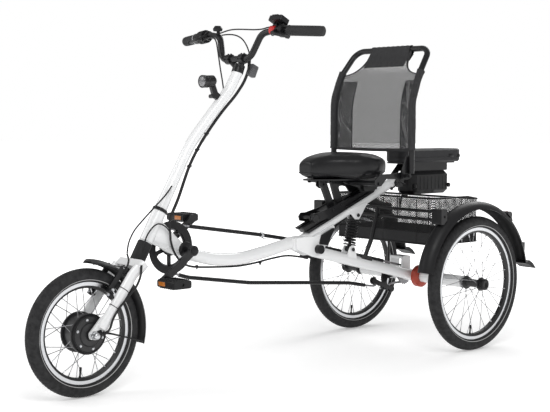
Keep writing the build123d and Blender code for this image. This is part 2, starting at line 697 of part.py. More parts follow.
def around(centre, radius, start, end):
    """Points round a circle from one angle to another, one chain pitch apart."""
    count = max(1, round(radians(abs(end - start)) * radius / CHAIN_PITCH))
    angles = [radians(start + (end - start) * number / count) for number in range(count + 1)]
    return [Vector(centre[0] + radius * cos(turn), centre[1] + radius * sin(turn)) for turn in angles]


def joints_between(points):
    """Pin places along a run of points, spaced as near to one chain pitch as divides it."""
    places = [points[0]]
    for start, end in zip(points, points[1:]):
        count = max(1, round((end - start).length / CHAIN_PITCH))
        places += [start + (end - start) * (number / count) for number in range(1, count + 1)]
    return places


def chain_links(pins):
    """Side plates, inner and outer in turn, with a roller at each pin."""
    pieces = []
    for number, (start, end) in enumerate(zip(pins, pins[1:])):
        along = (end - start).normalized()
        off = Vector(-along.Y, along.X) * 3.6
        nose = along * 3.6
        outline = [start - nose, start + off, end + off, end + nose, end - off, start - off]
        outline = [(point.X, point.Y) for point in outline]
        inner = 1.4 if number % 2 else 2.4
        for flank in (-1, 1):
            plate_in = CHAIN_Y + flank * inner
            plate_out = CHAIN_Y + flank * (inner + 1.1)
            pieces.append(plate(outline, min(plate_in, plate_out), max(plate_in, plate_out)))
    for pin in pins:
        with BuildPart() as roller:
            with BuildSketch(side(CHAIN_Y + 3)):
                with Locations((pin.X, pin.Y)):
                    RegularPolygon(2.6, 6)
            extrude(amount=6)
        pieces.append(roller.part)
    return pieces


ring_r = pitch_radius(RING_TEETH)
cog_r = pitch_radius(COG_TEETH[DRIVE_COG])
pulley_r = pitch_radius(PULLEY_TEETH)
top_mouth = Vector(*UPPER_TUBE[0])
low_mouth = Vector(*LOWER_TUBE[0])
top_end = Vector(*UPPER_TUBE[-1])
low_end = Vector(*LOWER_TUBE[-1])
upper_slope = degrees(atan2(UPPER_TUBE[0][1] - UPPER_TUBE[1][1], UPPER_TUBE[0][0] - UPPER_TUBE[1][0]))
cog_slope = degrees(atan2(UPPER_TUBE[2][1] - UPPER_TUBE[3][1], UPPER_TUBE[2][0] - UPPER_TUBE[3][0]))
LOW_SLOPE = 18.9            # the lower run where it leaves the chainring
front_pins = joints_between([top_mouth] + around(BB, ring_r, 90 + upper_slope, LOW_SLOPE - 90)[:1])
front_pins += around(BB, ring_r, 90 + upper_slope, LOW_SLOPE - 90)[1:]
front_pins += joints_between([front_pins[-1], low_mouth])[1:]
COG_LEAVE = -99.0           # angles round the sprocket and pulleys where the chain leaves or meets them
GUIDE_MEET = 84.0
GUIDE_LEAVE = 45.0
TENSION_MEET = 215.0
TENSION_LEAVE = 276.0
cog_arc = around((0, REAR_TYRE_R), cog_r, 90 + cog_slope, 360 + COG_LEAVE)
guide_arc = around(GUIDE_PULLEY, pulley_r, GUIDE_MEET, GUIDE_LEAVE)
tension_arc = around(TENSION_PULLEY, pulley_r, TENSION_MEET, TENSION_LEAVE)
rear_pins = joints_between([top_end, cog_arc[0]])
rear_pins += cog_arc[1:]
rear_pins += joints_between([rear_pins[-1], guide_arc[0]])[1:]
rear_pins += guide_arc[1:]
rear_pins += joints_between([rear_pins[-1], tension_arc[0]])[1:]
rear_pins += tension_arc[1:]
rear_pins += joints_between([rear_pins[-1], low_end])[1:]


def hidden_run(points, bends):
    """Chain inside a tube, as one plain bar."""
    with BuildPart() as run:
        with BuildLine() as route:
            FilletPolyline(*points, radius=bends)
        with BuildSketch(Plane(origin=route.line @ 0, x_dir=(0, 1, 0), z_dir=route.line % 0)):
            Rectangle(6, 7)
        sweep(path=route.line)
    return run.part


with BuildPart() as chain:
    add(hidden_run(tube_route(UPPER_TUBE), [300, 300]))
    add(hidden_run(tube_route(LOWER_TUBE), [150, 300, 300, 200]))
    add(chain_links(front_pins) + chain_links(rear_pins))
save(chain.part, "chain")
print("chain solids", len(chain.part.solids()), "pins", len(front_pins), len(rear_pins))

# differential beside the arm, and the derailleur
DIFF_R = 42.0
DIFF_Y = (30.0, 60.0)
with BuildPart() as differential:
    with BuildSketch(radial(at(0, 0, REAR_TYRE_R), 90)):
        with BuildLine():
            Polyline(
                (DIFF_Y[0], HOUSING_R + GAP), (DIFF_Y[0], DIFF_R - 6), (DIFF_Y[0] + 5, DIFF_R),
                (DIFF_Y[1] - 5, DIFF_R), (DIFF_Y[1], DIFF_R - 10), (DIFF_Y[1], HOUSING_R + GAP), close=True)
        make_face()
    revolve(axis=Axis(at(0, 0, REAR_TYRE_R), (0, 1, 0)))
save(differential.part, "differential")

PULLEY_T = 3.0
CAGE_Y = 6.0                # half the gap between the cage plates
CAGE_T = 1.6
HANGER_OUTLINE = [(14, 238), (26, 264), (76, 262), (84, 238), (74, 192), (50, 192), (54, 232)]


def cage_plate(y_start):
    """Derailleur cage plate with round ends over both pulleys."""
    with BuildPart() as cage:
        with BuildSketch(side(y_start + CAGE_T)):
            for centre in (GUIDE_PULLEY, TENSION_PULLEY):
                with Locations(centre):
                    Circle(12)
            with BuildLine():
                across_cage = Vector(GUIDE_PULLEY[1] - TENSION_PULLEY[1], TENSION_PULLEY[0] - GUIDE_PULLEY[0])
                off = across_cage.normalized() * 8
                near = Vector(*GUIDE_PULLEY)
                far = Vector(*TENSION_PULLEY)
                Polyline(near + off, far + off, far - off, near - off, close=True)
            make_face()
        extrude(amount=CAGE_T)
    return cage.part


with BuildPart() as derailleur:
    for centre in (GUIDE_PULLEY, TENSION_PULLEY):
        add(toothed(centre[0], centre[1], CHAIN_Y - PULLEY_T / 2, CHAIN_Y + PULLEY_T / 2, PULLEY_TEETH,
                    pulley_r - TOOTH_GAP - 1.8, 3))
        add(across(centre[0], centre[1], CHAIN_Y - CAGE_Y - CAGE_T, CHAIN_Y + CAGE_Y + CAGE_T, 5))
    add([cage_plate(CHAIN_Y + CAGE_Y), cage_plate(CHAIN_Y - CAGE_Y - CAGE_T)])
    add(across(GUIDE_PULLEY[0], GUIDE_PULLEY[1], BRIDGE_Y + 1, CHAIN_Y - CAGE_Y - CAGE_T, 8))
    add(plate(HANGER_OUTLINE, BRIDGE_Y, BRIDGE_Y + 5, 4))
save(derailleur.part, "derailleur")

# ---------------------------------------------------------------- seat rail and sliding seat
beam_run = at(BEAM_TOP[0], 0, BEAM_TOP[1]) - at(BEAM_FOOT[0], 0, BEAM_FOOT[1])
BEAM_UP = beam_run.normalized()
BEAM_OUT = Vector(-BEAM_UP.Z, 0, BEAM_UP.X) * -1
RAIL_W = 42.0
RAIL_BASE = 16.0            # the rail's underside, above the beam's middle line
RAIL_H = 29.0
RAIL_TOP = RAIL_BASE + RAIL_H
RAIL_FRONT_X = 592.0
RAIL_REAR_X = 232.0
SLIDE_GAP = 0.5
CHEEK_Y = 31.0
CHEEK_T = 5.0
BAR_T = 6.0


def on_beam(x, out=0.0, y=0.0):
    """Point of the beam's middle line at a distance ahead of the rear axle, moved outward."""
    foot = at(BEAM_FOOT[0], y, BEAM_FOOT[1])
    return foot + BEAM_UP * ((x - BEAM_FOOT[0]) / BEAM_UP.X) + BEAM_OUT * out


def rail_section(grow=0.0):
    """Half outline of the rail: distance from its middle, height above the beam's middle line."""
    half = RAIL_W / 2 + grow
    base = RAIL_BASE - grow
    top = RAIL_TOP + grow
    groove = half - 6
    return [
        (0, base), (half, base), (half, base + 9 + grow), (groove, base + 11 + grow),
        (groove, top - 11 - grow), (half, top - 9 - grow), (half, top), (0, top),
    ]


def rail_solid(x_front, x_rear, grow=0.0):
    start = on_beam(x_front)
    with BuildPart() as bar:
        with BuildSketch(Plane(origin=start, x_dir=(0, -1, 0), z_dir=BEAM_UP)):
            with BuildLine():
                Polyline(*rail_section(grow), close=True)
            make_face()
            mirror(about=Plane.YZ)
        extrude(amount=(on_beam(x_rear) - start).length)
    return bar.part


with BuildPart() as seat_rail:
    add(rail_solid(RAIL_FRONT_X, RAIL_REAR_X))
    slot_start = on_beam(RAIL_FRONT_X + 20)
    with BuildSketch(Plane(origin=slot_start, x_dir=(0, -1, 0), z_dir=BEAM_UP)):
        with Locations((0, RAIL_TOP)):
            Rectangle(12, 12)
    extrude(amount=(on_beam(RAIL_REAR_X - 20) - slot_start).length, mode=Mode.SUBTRACT)
    add(plate([(604, 468), (556, 441), (556, 400), (640, 400), (640, 468)], -RAIL_W, RAIL_W), mode=Mode.SUBTRACT)
    add(rod(on_beam(700), on_beam(100), BEAM_R + GAP), mode=Mode.SUBTRACT)
save(seat_rail.part, "seat_rail")

cheek_points = [(402, 530), (402, 564), (474, 537), (545, 521), (568, 521), (579, 508), (574, 492), (548, 488), (478, 500)]
with BuildPart() as knob:
    add(across(561, 505, CHEEK_Y + 3, CHEEK_Y + 16, 17))
    fillet(knob.part.faces().sort_by(Axis.Y)[-1].edges(), 5)
with BuildPart() as carriage:
    add([plate(cheek_points, -CHEEK_Y, -CHEEK_Y + CHEEK_T, 4), plate(cheek_points, CHEEK_Y - CHEEK_T, CHEEK_Y, 4)])
    with BuildSketch(Plane(origin=on_beam(478), x_dir=(0, -1, 0), z_dir=BEAM_UP)):
        with Locations((0, RAIL_BASE + 6)):
            Rectangle(2 * CHEEK_Y - 2, RAIL_H + 6, align=(Align.CENTER, Align.MIN))
    extrude(amount=(on_beam(402) - on_beam(478)).length)
    add(across(561, 505, -CHEEK_Y + 1, CHEEK_Y + 3, 6))
    add(rail_solid(700, 150, SLIDE_GAP), mode=Mode.SUBTRACT)
    add(knob.part)
save(carriage.part, "seat_carriage")

BAR_HALF = BAR_T - 1
FLANGE_Y = BAR_HALF + GAP
FRONT_BAR = [(507, 634), (474, 634), (425, 532), (457, 532)]
REAR_BAR = [(452, 632), (320, 632), (337, 616), (412, 612), (380, 536), (414, 530)]
PIN_AT = (491.0, 620.0)
PIN_R = 5.0
RAIL_CLEAR = 5.0
CROSS_BAR = (380.0, 626.7)
CROSS_R = 9.0
ARM_IN = 172.0

with BuildPart() as seat_bars:
    for outline in (FRONT_BAR, REAR_BAR):
        add(plate(outline, -BAR_HALF, BAR_HALF, 6))
    add(across(PIN_AT[0], PIN_AT[1], -FLANGE_Y - BAR_T, FLANGE_Y + BAR_T, PIN_R))
    add(carriage.part, mode=Mode.SUBTRACT)
    add(rail_solid(700, 150, RAIL_CLEAR), mode=Mode.SUBTRACT)
    add(across(CROSS_BAR[0], CROSS_BAR[1], -ARM_IN, ARM_IN, CROSS_R + GAP), mode=Mode.SUBTRACT)
save(seat_bars.part, "seat_bars")

PAN_Z = 636.0
PAN_T = 6.0
ARM_T = 6.0
RECLINE = (255.0, 652.0)
RECLINE_R = 7.0
flange_outline = [(512, PAN_Z + 3), (512, 616), (496, 606), (480, 610), (468, PAN_Z + 3)]
rear_outline = [(412, PAN_Z + 3), (412, 626), (336, 606), (318, 584), (248, 590), (238, PAN_Z + 3)]
with BuildPart() as seat_base:
    with BuildSketch(Plane(origin=at(410, 0, PAN_Z), x_dir=(1, 0, 0), z_dir=(0, 0, 1))):
        Polygon((-150, -92), (-60, -96), (70, -70), (150, -26), (150, 26), (70, 70), (-60, 96), (-150, 92), align=None)
    extrude(amount=PAN_T)
    for sign in (-1, 1):
        y_near = sign * FLANGE_Y
        y_far = sign * (FLANGE_Y + BAR_T)
        add(plate(flange_outline, min(y_near, y_far), max(y_near, y_far), 4))
        add(plate(rear_outline, min(sign * 28, sign * 34), max(sign * 28, sign * 34), 4))
        add(plate([(322, 640), (246, 640), (246, 596), (316, 592)], min(sign * 28, sign * 44), max(sign * 28, sign * 44), 6))
    add(across(CROSS_BAR[0], CROSS_BAR[1], -ARM_IN, ARM_IN, CROSS_R + GAP), mode=Mode.SUBTRACT)
    add(across(PIN_AT[0], PIN_AT[1], -ARM_IN, ARM_IN, PIN_R + GAP), mode=Mode.SUBTRACT)
save(seat_base.part, "seat_base")

recline_outline = [
    (394, 616), (396, 644), (374, 660), (300, 661), (262, 665), (244, 660), (241, 645), (262, 640), (340, 643), (368, 618)]
with BuildPart() as recline_arms:
    add(across(CROSS_BAR[0], CROSS_BAR[1], -ARM_IN - 1, ARM_IN + 1, CROSS_R))
    for sign in (-1, 1):
        y_near = sign * ARM_IN
        y_far = sign * (ARM_IN + ARM_T)
        y_end = sign * 210
        add(plate(recline_outline, min(y_near, y_far), max(y_near, y_far), 6))
        add(across(RECLINE[0], RECLINE[1], min(y_near, y_end), max(y_near, y_end), RECLINE_R))
save(recline_arms.part, "recline_arms")

SADDLE_SECTIONS = [          # ahead of the rear axle, half width, underside, top
    (258, 92, 656, 700), (285, 130, 648, 722), (335, 147, 643, 735), (395, 143, 643, 737),
    (455, 104, 644, 733), (512, 62, 647, 725), (560, 38, 652, 707), (584, 22, 660, 686),
]
with BuildPart() as saddle:
    for x, half, low, high in SADDLE_SECTIONS:
        with BuildSketch(Plane(origin=at(x, 0, (low + high) / 2), x_dir=(0, 1, 0), z_dir=(1, 0, 0))):
            RectangleRounded(2 * half, high - low, (high - low) / 2 - 1)
    loft()
save(saddle.part, "saddle")

# ---------------------------------------------------------------- backrest
BACK_Y = 200.0
BACK_R = 11.0
BACK_FOOT = (233.0, 660.0)
BACK_KNEE = (233.0, 925.0)
BACK_LEAN = (197.0, 1020.0)
BACK_TOP = (122.0, 1119.0)
BACK_TOP_Y = 185.0
BRACKET_IN = 184.0
BRACKET_T = 8.0


def back_side(sign):
    """Points of one post of the backrest, from the foot up."""
    return [
        at(BACK_FOOT[0], sign * BACK_Y, BACK_FOOT[1]), at(BACK_KNEE[0], sign * BACK_Y, BACK_KNEE[1]),
        at(BACK_LEAN[0], sign * BACK_Y, BACK_LEAN[1]), at(BACK_TOP[0], sign * BACK_TOP_Y, BACK_TOP[1]),
    ]


bracket_outline = [(270, 640), (272, 664), (248, 724), (224, 724), (222, 662), (240, 638)]
with BuildPart() as backrest_frame:
    add(tube(back_side(-1) + back_side(1)[::-1], BACK_R, [150, 120, 45, 45, 120, 150]))
    for sign in (-1, 1):
        y_near = sign * BRACKET_IN
        y_far = sign * (BRACKET_IN + BRACKET_T)
        add(plate(bracket_outline, min(y_near, y_far), max(y_near, y_far), 6))
    add(across(RECLINE[0], RECLINE[1], -BACK_Y, BACK_Y, RECLINE_R + RUN), mode=Mode.SUBTRACT)
save(backrest_frame.part, "backrest_frame")

FABRIC_T = 5.0
FABRIC_Y = BACK_Y - BACK_R - GAP
fabric_line = [(233, 745), (233, 925), (197, 1020), (140, 1095)]
with BuildPart() as fabric:
    with BuildSketch(side(FABRIC_Y)):
        with BuildLine():
            shape = FilletPolyline(*fabric_line, radius=[150, 120])
            Line(shape @ 1, (shape @ 1) + Vector(-FABRIC_T * 0.8, -FABRIC_T * 0.6))
            back = FilletPolyline(
                *[(x - FABRIC_T, z - (FABRIC_T * 0.5 if z > 1000 else 0)) for x, z in fabric_line],
                radius=[150 - FABRIC_T, 120 - FABRIC_T])
            Line(back @ 1, (shape @ 1) + Vector(-FABRIC_T * 0.8, -FABRIC_T * 0.6))
            Line(shape @ 0, back @ 0)
        make_face()
    extrude(amount=2 * FABRIC_Y)
    with BuildSketch(Plane(origin=at(0, 0, 0), x_dir=(0, 1, 0), z_dir=(1, 0, 0))):
        with Locations((FABRIC_Y, 1090), (-FABRIC_Y, 1090)):
            Circle(84)
    extrude(amount=400, mode=Mode.SUBTRACT)
save(fabric.part, "backrest_fabric")

# ---------------------------------------------------------------- battery, its rack and the controller
BATTERY_X = (-236.0, 108.0)
BATTERY_Z = (692.0, 743.0)
BATTERY_Y = 60.0
RACK_T = 5.0
RACK_Y = BEAM_R + GAP
CONTROLLER_X = (-175.0, 53.0)
CONTROLLER_Z = (568.0, 657.0)
CONTROLLER_Y = 45.0


def padded_box(x_range, half_y, z_range, corner, edge):
    """Box with rounded upright corners and softened top and bottom edges."""
    with BuildPart() as box:
        middle = (x_range[0] + x_range[1]) / 2
        with BuildSketch(Plane(origin=at(middle, 0, z_range[0]), x_dir=(1, 0, 0), z_dir=(0, 0, 1))):
            RectangleRounded(x_range[1] - x_range[0], 2 * half_y, corner)
        extrude(amount=z_range[1] - z_range[0])
        flats = box.part.faces().filter_by(Axis.Z)
        chamfer(flats.edges(), edge)
    return box.part


save(padded_box(BATTERY_X, BATTERY_Y, BATTERY_Z, 40, 6), "battery")
save(padded_box(CONTROLLER_X, CONTROLLER_Y, CONTROLLER_Z, 30, 14), "controller")
rack_outline = [
    (112, 598), (126, 616), (108, 640), (60, BATTERY_Z[0] - RACK_T), (-180, BATTERY_Z[0] - RACK_T),
    (-180, CONTROLLER_Z[1] + GAP), (58, CONTROLLER_Z[1] + GAP), (70, 640), (80, 600)]
with BuildPart() as battery_rack:
    for sign in (-1, 1):
        y_near = sign * RACK_Y
        y_far = sign * (RACK_Y + RACK_T)
        add(plate(rack_outline, min(y_near, y_far), max(y_near, y_far), 5))
    with BuildSketch(Plane(origin=at(-50, 0, BATTERY_Z[0] - RACK_T), x_dir=(1, 0, 0), z_dir=(0, 0, 1))):
        RectangleRounded(300, 100, 12)
    extrude(amount=RACK_T)
save(battery_rack.part, "battery_rack")

# ---------------------------------------------------------------- basket
BASKET_X = (-100.0, 165.0)
BASKET_Y = TRACK / 2 - 59
BASKET_Z = (395.0, 568.0)
BASKET_REAR_Z = 557.0
BASKET_DIP_X = -30.0
WALL = 2.5
RIM_WIRE_R = 4.0
rim_front = BASKET_X[1] - WALL / 2
rim_rear = BASKET_X[0] + WALL / 2
rim_y = BASKET_Y - WALL / 2
with BuildPart() as basket_rim:
    add(tube(
        [at(rim_front, 0, BASKET_Z[1]), at(rim_front, rim_y, BASKET_Z[1]), at(BASKET_DIP_X, rim_y, BASKET_Z[1]),
         at(rim_rear, rim_y, BASKET_REAR_Z), at(rim_rear, 0, BASKET_REAR_Z)],
        RIM_WIRE_R, [20, 40, 20]))
    mirror(about=Plane.XZ)
save(basket_rim.part, "basket_rim")
with BuildPart() as basket:
    with BuildSketch(side(BASKET_Y)):
        with BuildLine():
            Polyline(
                (BASKET_X[0], BASKET_Z[0]), (BASKET_X[0], BASKET_REAR_Z - RIM_WIRE_R), (BASKET_DIP_X, BASKET_Z[1] - RIM_WIRE_R),
                (BASKET_X[1], BASKET_Z[1] - RIM_WIRE_R), (BASKET_X[1], BASKET_Z[0]), close=True)
        make_face()
    extrude(amount=2 * BASKET_Y)
    uprights = basket.part.edges().filter_by(Axis.Z)
    fillet(uprights, 20)
    with BuildSketch(Plane(origin=at((BASKET_X[0] + BASKET_X[1]) / 2, 0, BASKET_Z[0] + WALL), x_dir=(1, 0, 0), z_dir=(0, 0, 1))):
        RectangleRounded(BASKET_X[1] - BASKET_X[0] - 2 * WALL, 2 * BASKET_Y - 2 * WALL, 20 - WALL)
    extrude(amount=300, mode=Mode.SUBTRACT)
    add(basket_rim.part, mode=Mode.SUBTRACT)
save(basket.part, "basket")

# ---------------------------------------------------------------- rear carrier
CARRIER_R = 6.0
CARRIER_X = 193.0
CARRIER_HIGH_Z = 524.5
CARRIER_LOW_Z = 494.0
FENDER_Y = TRACK / 2
FENDER_R = 305.0
FENDER_LIP_R = 278.0
FENDER_HALF = 35.0
FENDER_T = 3.0
FENDER_FRONT = 12.0
FENDER_REAR = 168.0
STRUT_Y = 120.0
HOOK_Y = 110.0
HOOK_R = 3.0
carrier_end = FENDER_Y - 22
hook_z = BASKET_Z[1] + RIM_WIRE_R + HOOK_R + GAP
post_foot = at(262, 0, 343)
with BuildPart() as rear_carrier:
    add(across(CARRIER_X, CARRIER_HIGH_Z, -carrier_end, carrier_end, CARRIER_R))
    add(across(CARRIER_X, CARRIER_LOW_Z, -carrier_end, carrier_end, CARRIER_R))
    add(tube([post_foot, at(230, 0, 400), at(CARRIER_X, 0, CARRIER_HIGH_Z)], 8, [60]))
    add(plate([(296, 354), (240, 340), (240, 320), (296, 330)], -16, 16))
    for sign in (-1, 1):
        block = plate(
            [(182, 480), (182, 536), (214, 536), (214, 480)],
            min(sign * (carrier_end - 4), sign * (FENDER_Y + 20)), max(sign * (carrier_end - 4), sign * (FENDER_Y + 20)), 5)
        add(block)
        add(tube(
            [at(CARRIER_X, sign * HOOK_Y, CARRIER_HIGH_Z), at(184, sign * HOOK_Y, hook_z),
             at(rim_front - 10, sign * HOOK_Y, hook_z), at(rim_front - 10, sign * HOOK_Y, hook_z - 12)],
            HOOK_R, [9, 5]))
    for sign in (-1, 1):
        add(across(0, REAR_TYRE_R, min(sign * (carrier_end - 10), sign * 400),
                   max(sign * (carrier_end - 10), sign * 400), FENDER_R + GAP), mode=Mode.SUBTRACT)
    add(rear_arm.part, mode=Mode.SUBTRACT)
with BuildPart() as basket_struts:
    strut_top = BASKET_Z[0] - GAP - CARRIER_R
    add(across(0, strut_top, -STRUT_Y - 60, STRUT_Y + 60, CARRIER_R))
    for sign in (-1, 1):
        add(rod(at(0, sign * STRUT_Y, REAR_TYRE_R), at(0, sign * STRUT_Y, strut_top + 1), CARRIER_R - 1))
        add(across(0, REAR_TYRE_R, sign * STRUT_Y - 10, sign * STRUT_Y + 10, HOUSING_R + 4))
    add(across(0, REAR_TYRE_R, -400, 400, HOUSING_R + GAP), mode=Mode.SUBTRACT)
save(Compound(children=[rear_carrier.part, basket_struts.part]), "rear_carrier")

# ---------------------------------------------------------------- fenders and lamps


def fender_band(centre, crown_r, lip_r, half, start, end):
    """Arched band over a wheel, swept round its axis between two angles."""
    with BuildPart() as band:
        with BuildSketch(radial(centre, end)):
            with BuildLine():
                ThreePointArc((-half, lip_r), (0, crown_r), (half, lip_r))
                Line((half, lip_r), (half - FENDER_T, lip_r))
                ThreePointArc((half - FENDER_T, lip_r), (0, crown_r - FENDER_T), (FENDER_T - half, lip_r))
                Line((FENDER_T - half, lip_r), (-half, lip_r))
            make_face()
        revolve(axis=Axis(centre, (0, 1, 0)), revolution_arc=end - start)
    return band.part


def mud_flap(y):
    """Flap below the rear end of a fender, spreading back from the wheel."""
    return plate([(-268, 306), (-299, 316), (-322, 303), (-342, 281), (-326, 284), (-300, 298)], y - 33, y + 33)


def rear_fender(sign, name):
    centre = at(0, sign * FENDER_Y, REAR_TYRE_R)
    with BuildPart() as fender:
        add(fender_band(centre, FENDER_R, FENDER_LIP_R, FENDER_HALF, FENDER_FRONT, FENDER_REAR))
        add(mud_flap(sign * FENDER_Y))
    save(fender.part, name)


rear_fender(1, "fender_left")
rear_fender(-1, "fender_right")

LAMP_X = -180.0
LAMP_Z = 488.0
lamp_centre = at(LAMP_X, FENDER_Y, LAMP_Z)
with BuildPart() as tail_lights:
    for sign in (-1, 1):
        y_mid = sign * FENDER_Y
        add(across(LAMP_X - 8, LAMP_Z + 8, y_mid - 20, y_mid + 20, 13.5))
        add(plate([(-172, 492), (-206, 500), (-216, 470), (-190, 470)], y_mid - 12, y_mid + 12, 3))
        add(plate([(-271, 351), (-271, 385), (-297, 385), (-297, 351)], y_mid - 11, y_mid + 11, 3))
        add(plate([(-262, 362), (-262, 374), (-275, 374), (-275, 362)], y_mid - 6, y_mid + 6))
        add(across(0, REAR_TYRE_R, y_mid - 60, y_mid + 60, FENDER_R + GAP), mode=Mode.SUBTRACT)
save(tail_lights.part, "tail_lights")

FRONT_CROWN_R = 228.0
FRONT_LIP_R = 212.0
FRONT_HALF = 29.0
FRONT_START = 95.0
FRONT_END = 195.0
STAY_R = 2.5
front_centre = at(WHEELBASE, 0, FRONT_TYRE_R)
with BuildPart() as front_fender:
    add(fender_band(front_centre, FRONT_CROWN_R, FRONT_LIP_R, FRONT_HALF, FRONT_START, FRONT_END))
    for sign in (-1, 1):
        add(tube(
            [at(1486, sign * 60, 205), at(1440, sign * 56, 196), at(1297.5, sign * (FRONT_HALF - 1.5), 151.4)],
            STAY_R, [60]))
        add(plate([(1478, 198), (1494, 196), (1494, 212), (1478, 214)],
                  min(sign * 57.8, sign * 61), max(sign * 57.8, sign * 61), 4))
    add(rod(at(1356, 0, 366), at(1339, 0, 383), 9))
    add(fork.part, mode=Mode.SUBTRACT)
save(front_fender.part, "front_fender")

# front rim brake: posts on the legs, upright arms, pads against the rim and the cable guide over the top
POST = (1426.0, 301.0)
POST_TIP = (1448.0, 317.5)
ARM_TOP = (1384.0, 398.0)
PAD = (1430.0, 329.5)
ARM_Y = 37.0
ARM_SIDE = (0.597, -0.802)
with BuildPart() as front_brake:
    for sign in (-1, 1):
        add(rod(at(POST[0], sign * 55, POST[1]), at(POST_TIP[0], sign * 55, POST_TIP[1]), 5))
        add(rod(at(1438, sign * 55, 310), at(POST_TIP[0], sign * 55, POST_TIP[1]), 9))
        y_near = sign * ARM_Y
        y_far = sign * (ARM_Y + 7)
        add(plate([(1452, 326), (1436, 312), (1430, 318), (1376, 394), (1382, 403), (1392, 400), (1446, 332)],
                  min(y_near, y_far), max(y_near, y_far)))
        add(plate([(1452, 326), (1436, 312), (1430, 320), (1442, 336)], min(y_near, sign * 56), max(y_near, sign * 56)))
        add(rod(at(PAD[0], sign * 20, PAD[1]), at(PAD[0], sign * (ARM_Y + 12), PAD[1]), 4))
        with BuildSketch(Plane(origin=at(PAD[0], sign * 17, PAD[1]), x_dir=(0.863, 0, 0.505), z_dir=(0, sign, 0))):
            SlotOverall(46, 10)
        extrude(amount=4, both=True)
    add(tube([at(1384, 42, 396), at(1384, 60, 398), at(1381, 66, 420), at(1370, 40, 436)], 3, [8, 12]))
    add(rod(at(1384, -44, 396), at(1384, 44, 396), 1.5))
    add(fork.part, mode=Mode.SUBTRACT)
save(front_brake.part, "front_brake")

# ---------------------------------------------------------------- handlebar fittings and headlight
LEVER_Y = 184.0
with BuildPart() as brake_levers:
    for sign in (-1, 1):
        clamp = bar_point(sign, LEVER_Y)
        add(bar_sleeve(sign, LEVER_Y - 7, LEVER_Y + 7, BAR_R + 5))
        add(tube(
            [clamp + Vector(12, 0, -5), clamp + Vector(32, sign * 4, -12), clamp + Vector(40, sign * 20, -14),
             clamp + Vector(30, sign * 70, -24)],
            5.5, [14, 10]))
        add(rod(clamp + Vector(30, sign * 66, -23), clamp + Vector(29, sign * 76, -25), 8))
        add(rod(clamp + Vector(10, 0, -4), clamp + Vector(34, sign * 4, -12), 9))
    add(handlebar_solid, mode=Mode.SUBTRACT)
save(brake_levers.part, "brake_levers")
with BuildPart() as shifter:
    add(bar_sleeve(-1, 198, 240, 22))
    add(bar_sleeve(-1, 240, BAR_END[1] - GRIP_RIGHT_L - GAP, 18.5))
with BuildPart() as display:
    mid = bar_point(1, 182)
    add(bar_sleeve(1, 193, 205, BAR_R + 12))
    with BuildSketch(Plane(origin=mid + Vector(4, 0, 25), x_dir=(0, 1, 0), z_dir=(-0.45, 0, 0.89))):
        RectangleRounded(62, 40, 6)
    extrude(amount=16)
    with BuildSketch(Plane(origin=mid + Vector(0, -21, 8), x_dir=(0, 1, 0), z_dir=(-1, 0, 0))):
        RectangleRounded(22, 26, 5)
    extrude(amount=26)
    add(handlebar_solid, mode=Mode.SUBTRACT)
with BuildPart() as bell:
    add(rod(at(876, -118, 1134), at(878, -118, 1158), 6))
    add(rod(at(880, -118, 1156), at(880, -118, 1164), 15, 17))
    add(rod(at(880, -118, 1164), at(880, -118, 1174), 17, 10))
    add(handlebar_solid, mode=Mode.SUBTRACT)
save(Compound(children=[shifter.part, display.part, bell.part]), "bar_controls")

LENS = at(1040, 0, 978)
LAMP_BACK = at(998, 0, 980)
with BuildPart() as headlight:
    add(rod(LAMP_BACK, LENS, 19.5))
    add(rod(LENS - Vector(9, 0, 0), LENS + Vector(1, 0, 0), 21))
    add(rod(LAMP_BACK, LAMP_BACK - Vector(9, 0, 0), 19.5, 12))
    add(plate([(1010, 966), (990, 968), (980, 944), (952, 922), (962, 908), (996, 926), (1002, 944)], -6, 6))
    add(across(1000, 930, -10, 10, 7))
    add(column.part, mode=Mode.SUBTRACT)
save(headlight.part, "headlight")

# ---------------------------------------------------------------- cables held by the vehicle


def cord(points, radius):
    """Cable through hand-picked points, each bend as large as its two runs allow."""
    bends = []
    for before, corner, after in zip(points, points[1:], points[2:]):
        turn = radians((corner - before).get_angle(after - corner))
        bends.append(0.45 * min((corner - before).length, (after - corner).length) / tan(turn / 2))
    print("cable radii", [round(bend) for bend in bends])
    return tube(points, radius, bends)


COLUMN_CABLES = [
    (845, 4, 1062), (838, 0, 1030), (858, 0, 984), (897, 0, 936), (949, 0, 888), (979, 0, 857), (1025, 0, 805),
    (1066, 2, 753), (1103, 8, 700), (1130, 16, 652), (1160, 23, 594), (1185, 24, 550.7)]
FRAME_CABLES = [
    (1185.3, 24, 550.2), (1196, 26, 531), (1196, 29, 496), (1194, 30, 461), (1180, 30, 424), (1150, 27, 390),
    (1112, 20, 375), (1070, 10, 368), (1016, 4, 363), (960, 0, 359), (890, 0, 355), (810, 0, 360),
    (740, 0, 370), (667, 6, 377), (610, 14, 368), (580, 22, 360)]
MOTOR_CABLE = [
    (1340, 74.2, 402), (1342, 74.2, 370), (1357, 73.7, 338), (1383, 73.3, 314), (1420, 73.3, 280),
    (1446, 72.6, 246), (1457, 73, 214), (1478, 71, 200)]
BRAKE_CABLE = [
    (1188, 28, 640), (1216, 33, 612), (1256, 34, 580), (1300, 33, 542), (1340, 33, 506), (1363, 37, 470), (1370, 40, 439)]
column_cables = cord([at(*point) for point in COLUMN_CABLES], 5)
motor_cable = cord([at(*point) for point in MOTOR_CABLE], 3.5)
brake_cable = cord([at(*point) for point in BRAKE_CABLE], 2.5)
save(Compound(children=[column_cables, motor_cable, brake_cable]), "steering_cables")
save(cord([at(*point) for point in FRAME_CABLES], 3.5), "frame_cables")
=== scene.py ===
import json
import math
import random

import bmesh
import bpy
from mathutils import Euler, Matrix, Vector
from mathutils.bvhtree import BVHTree


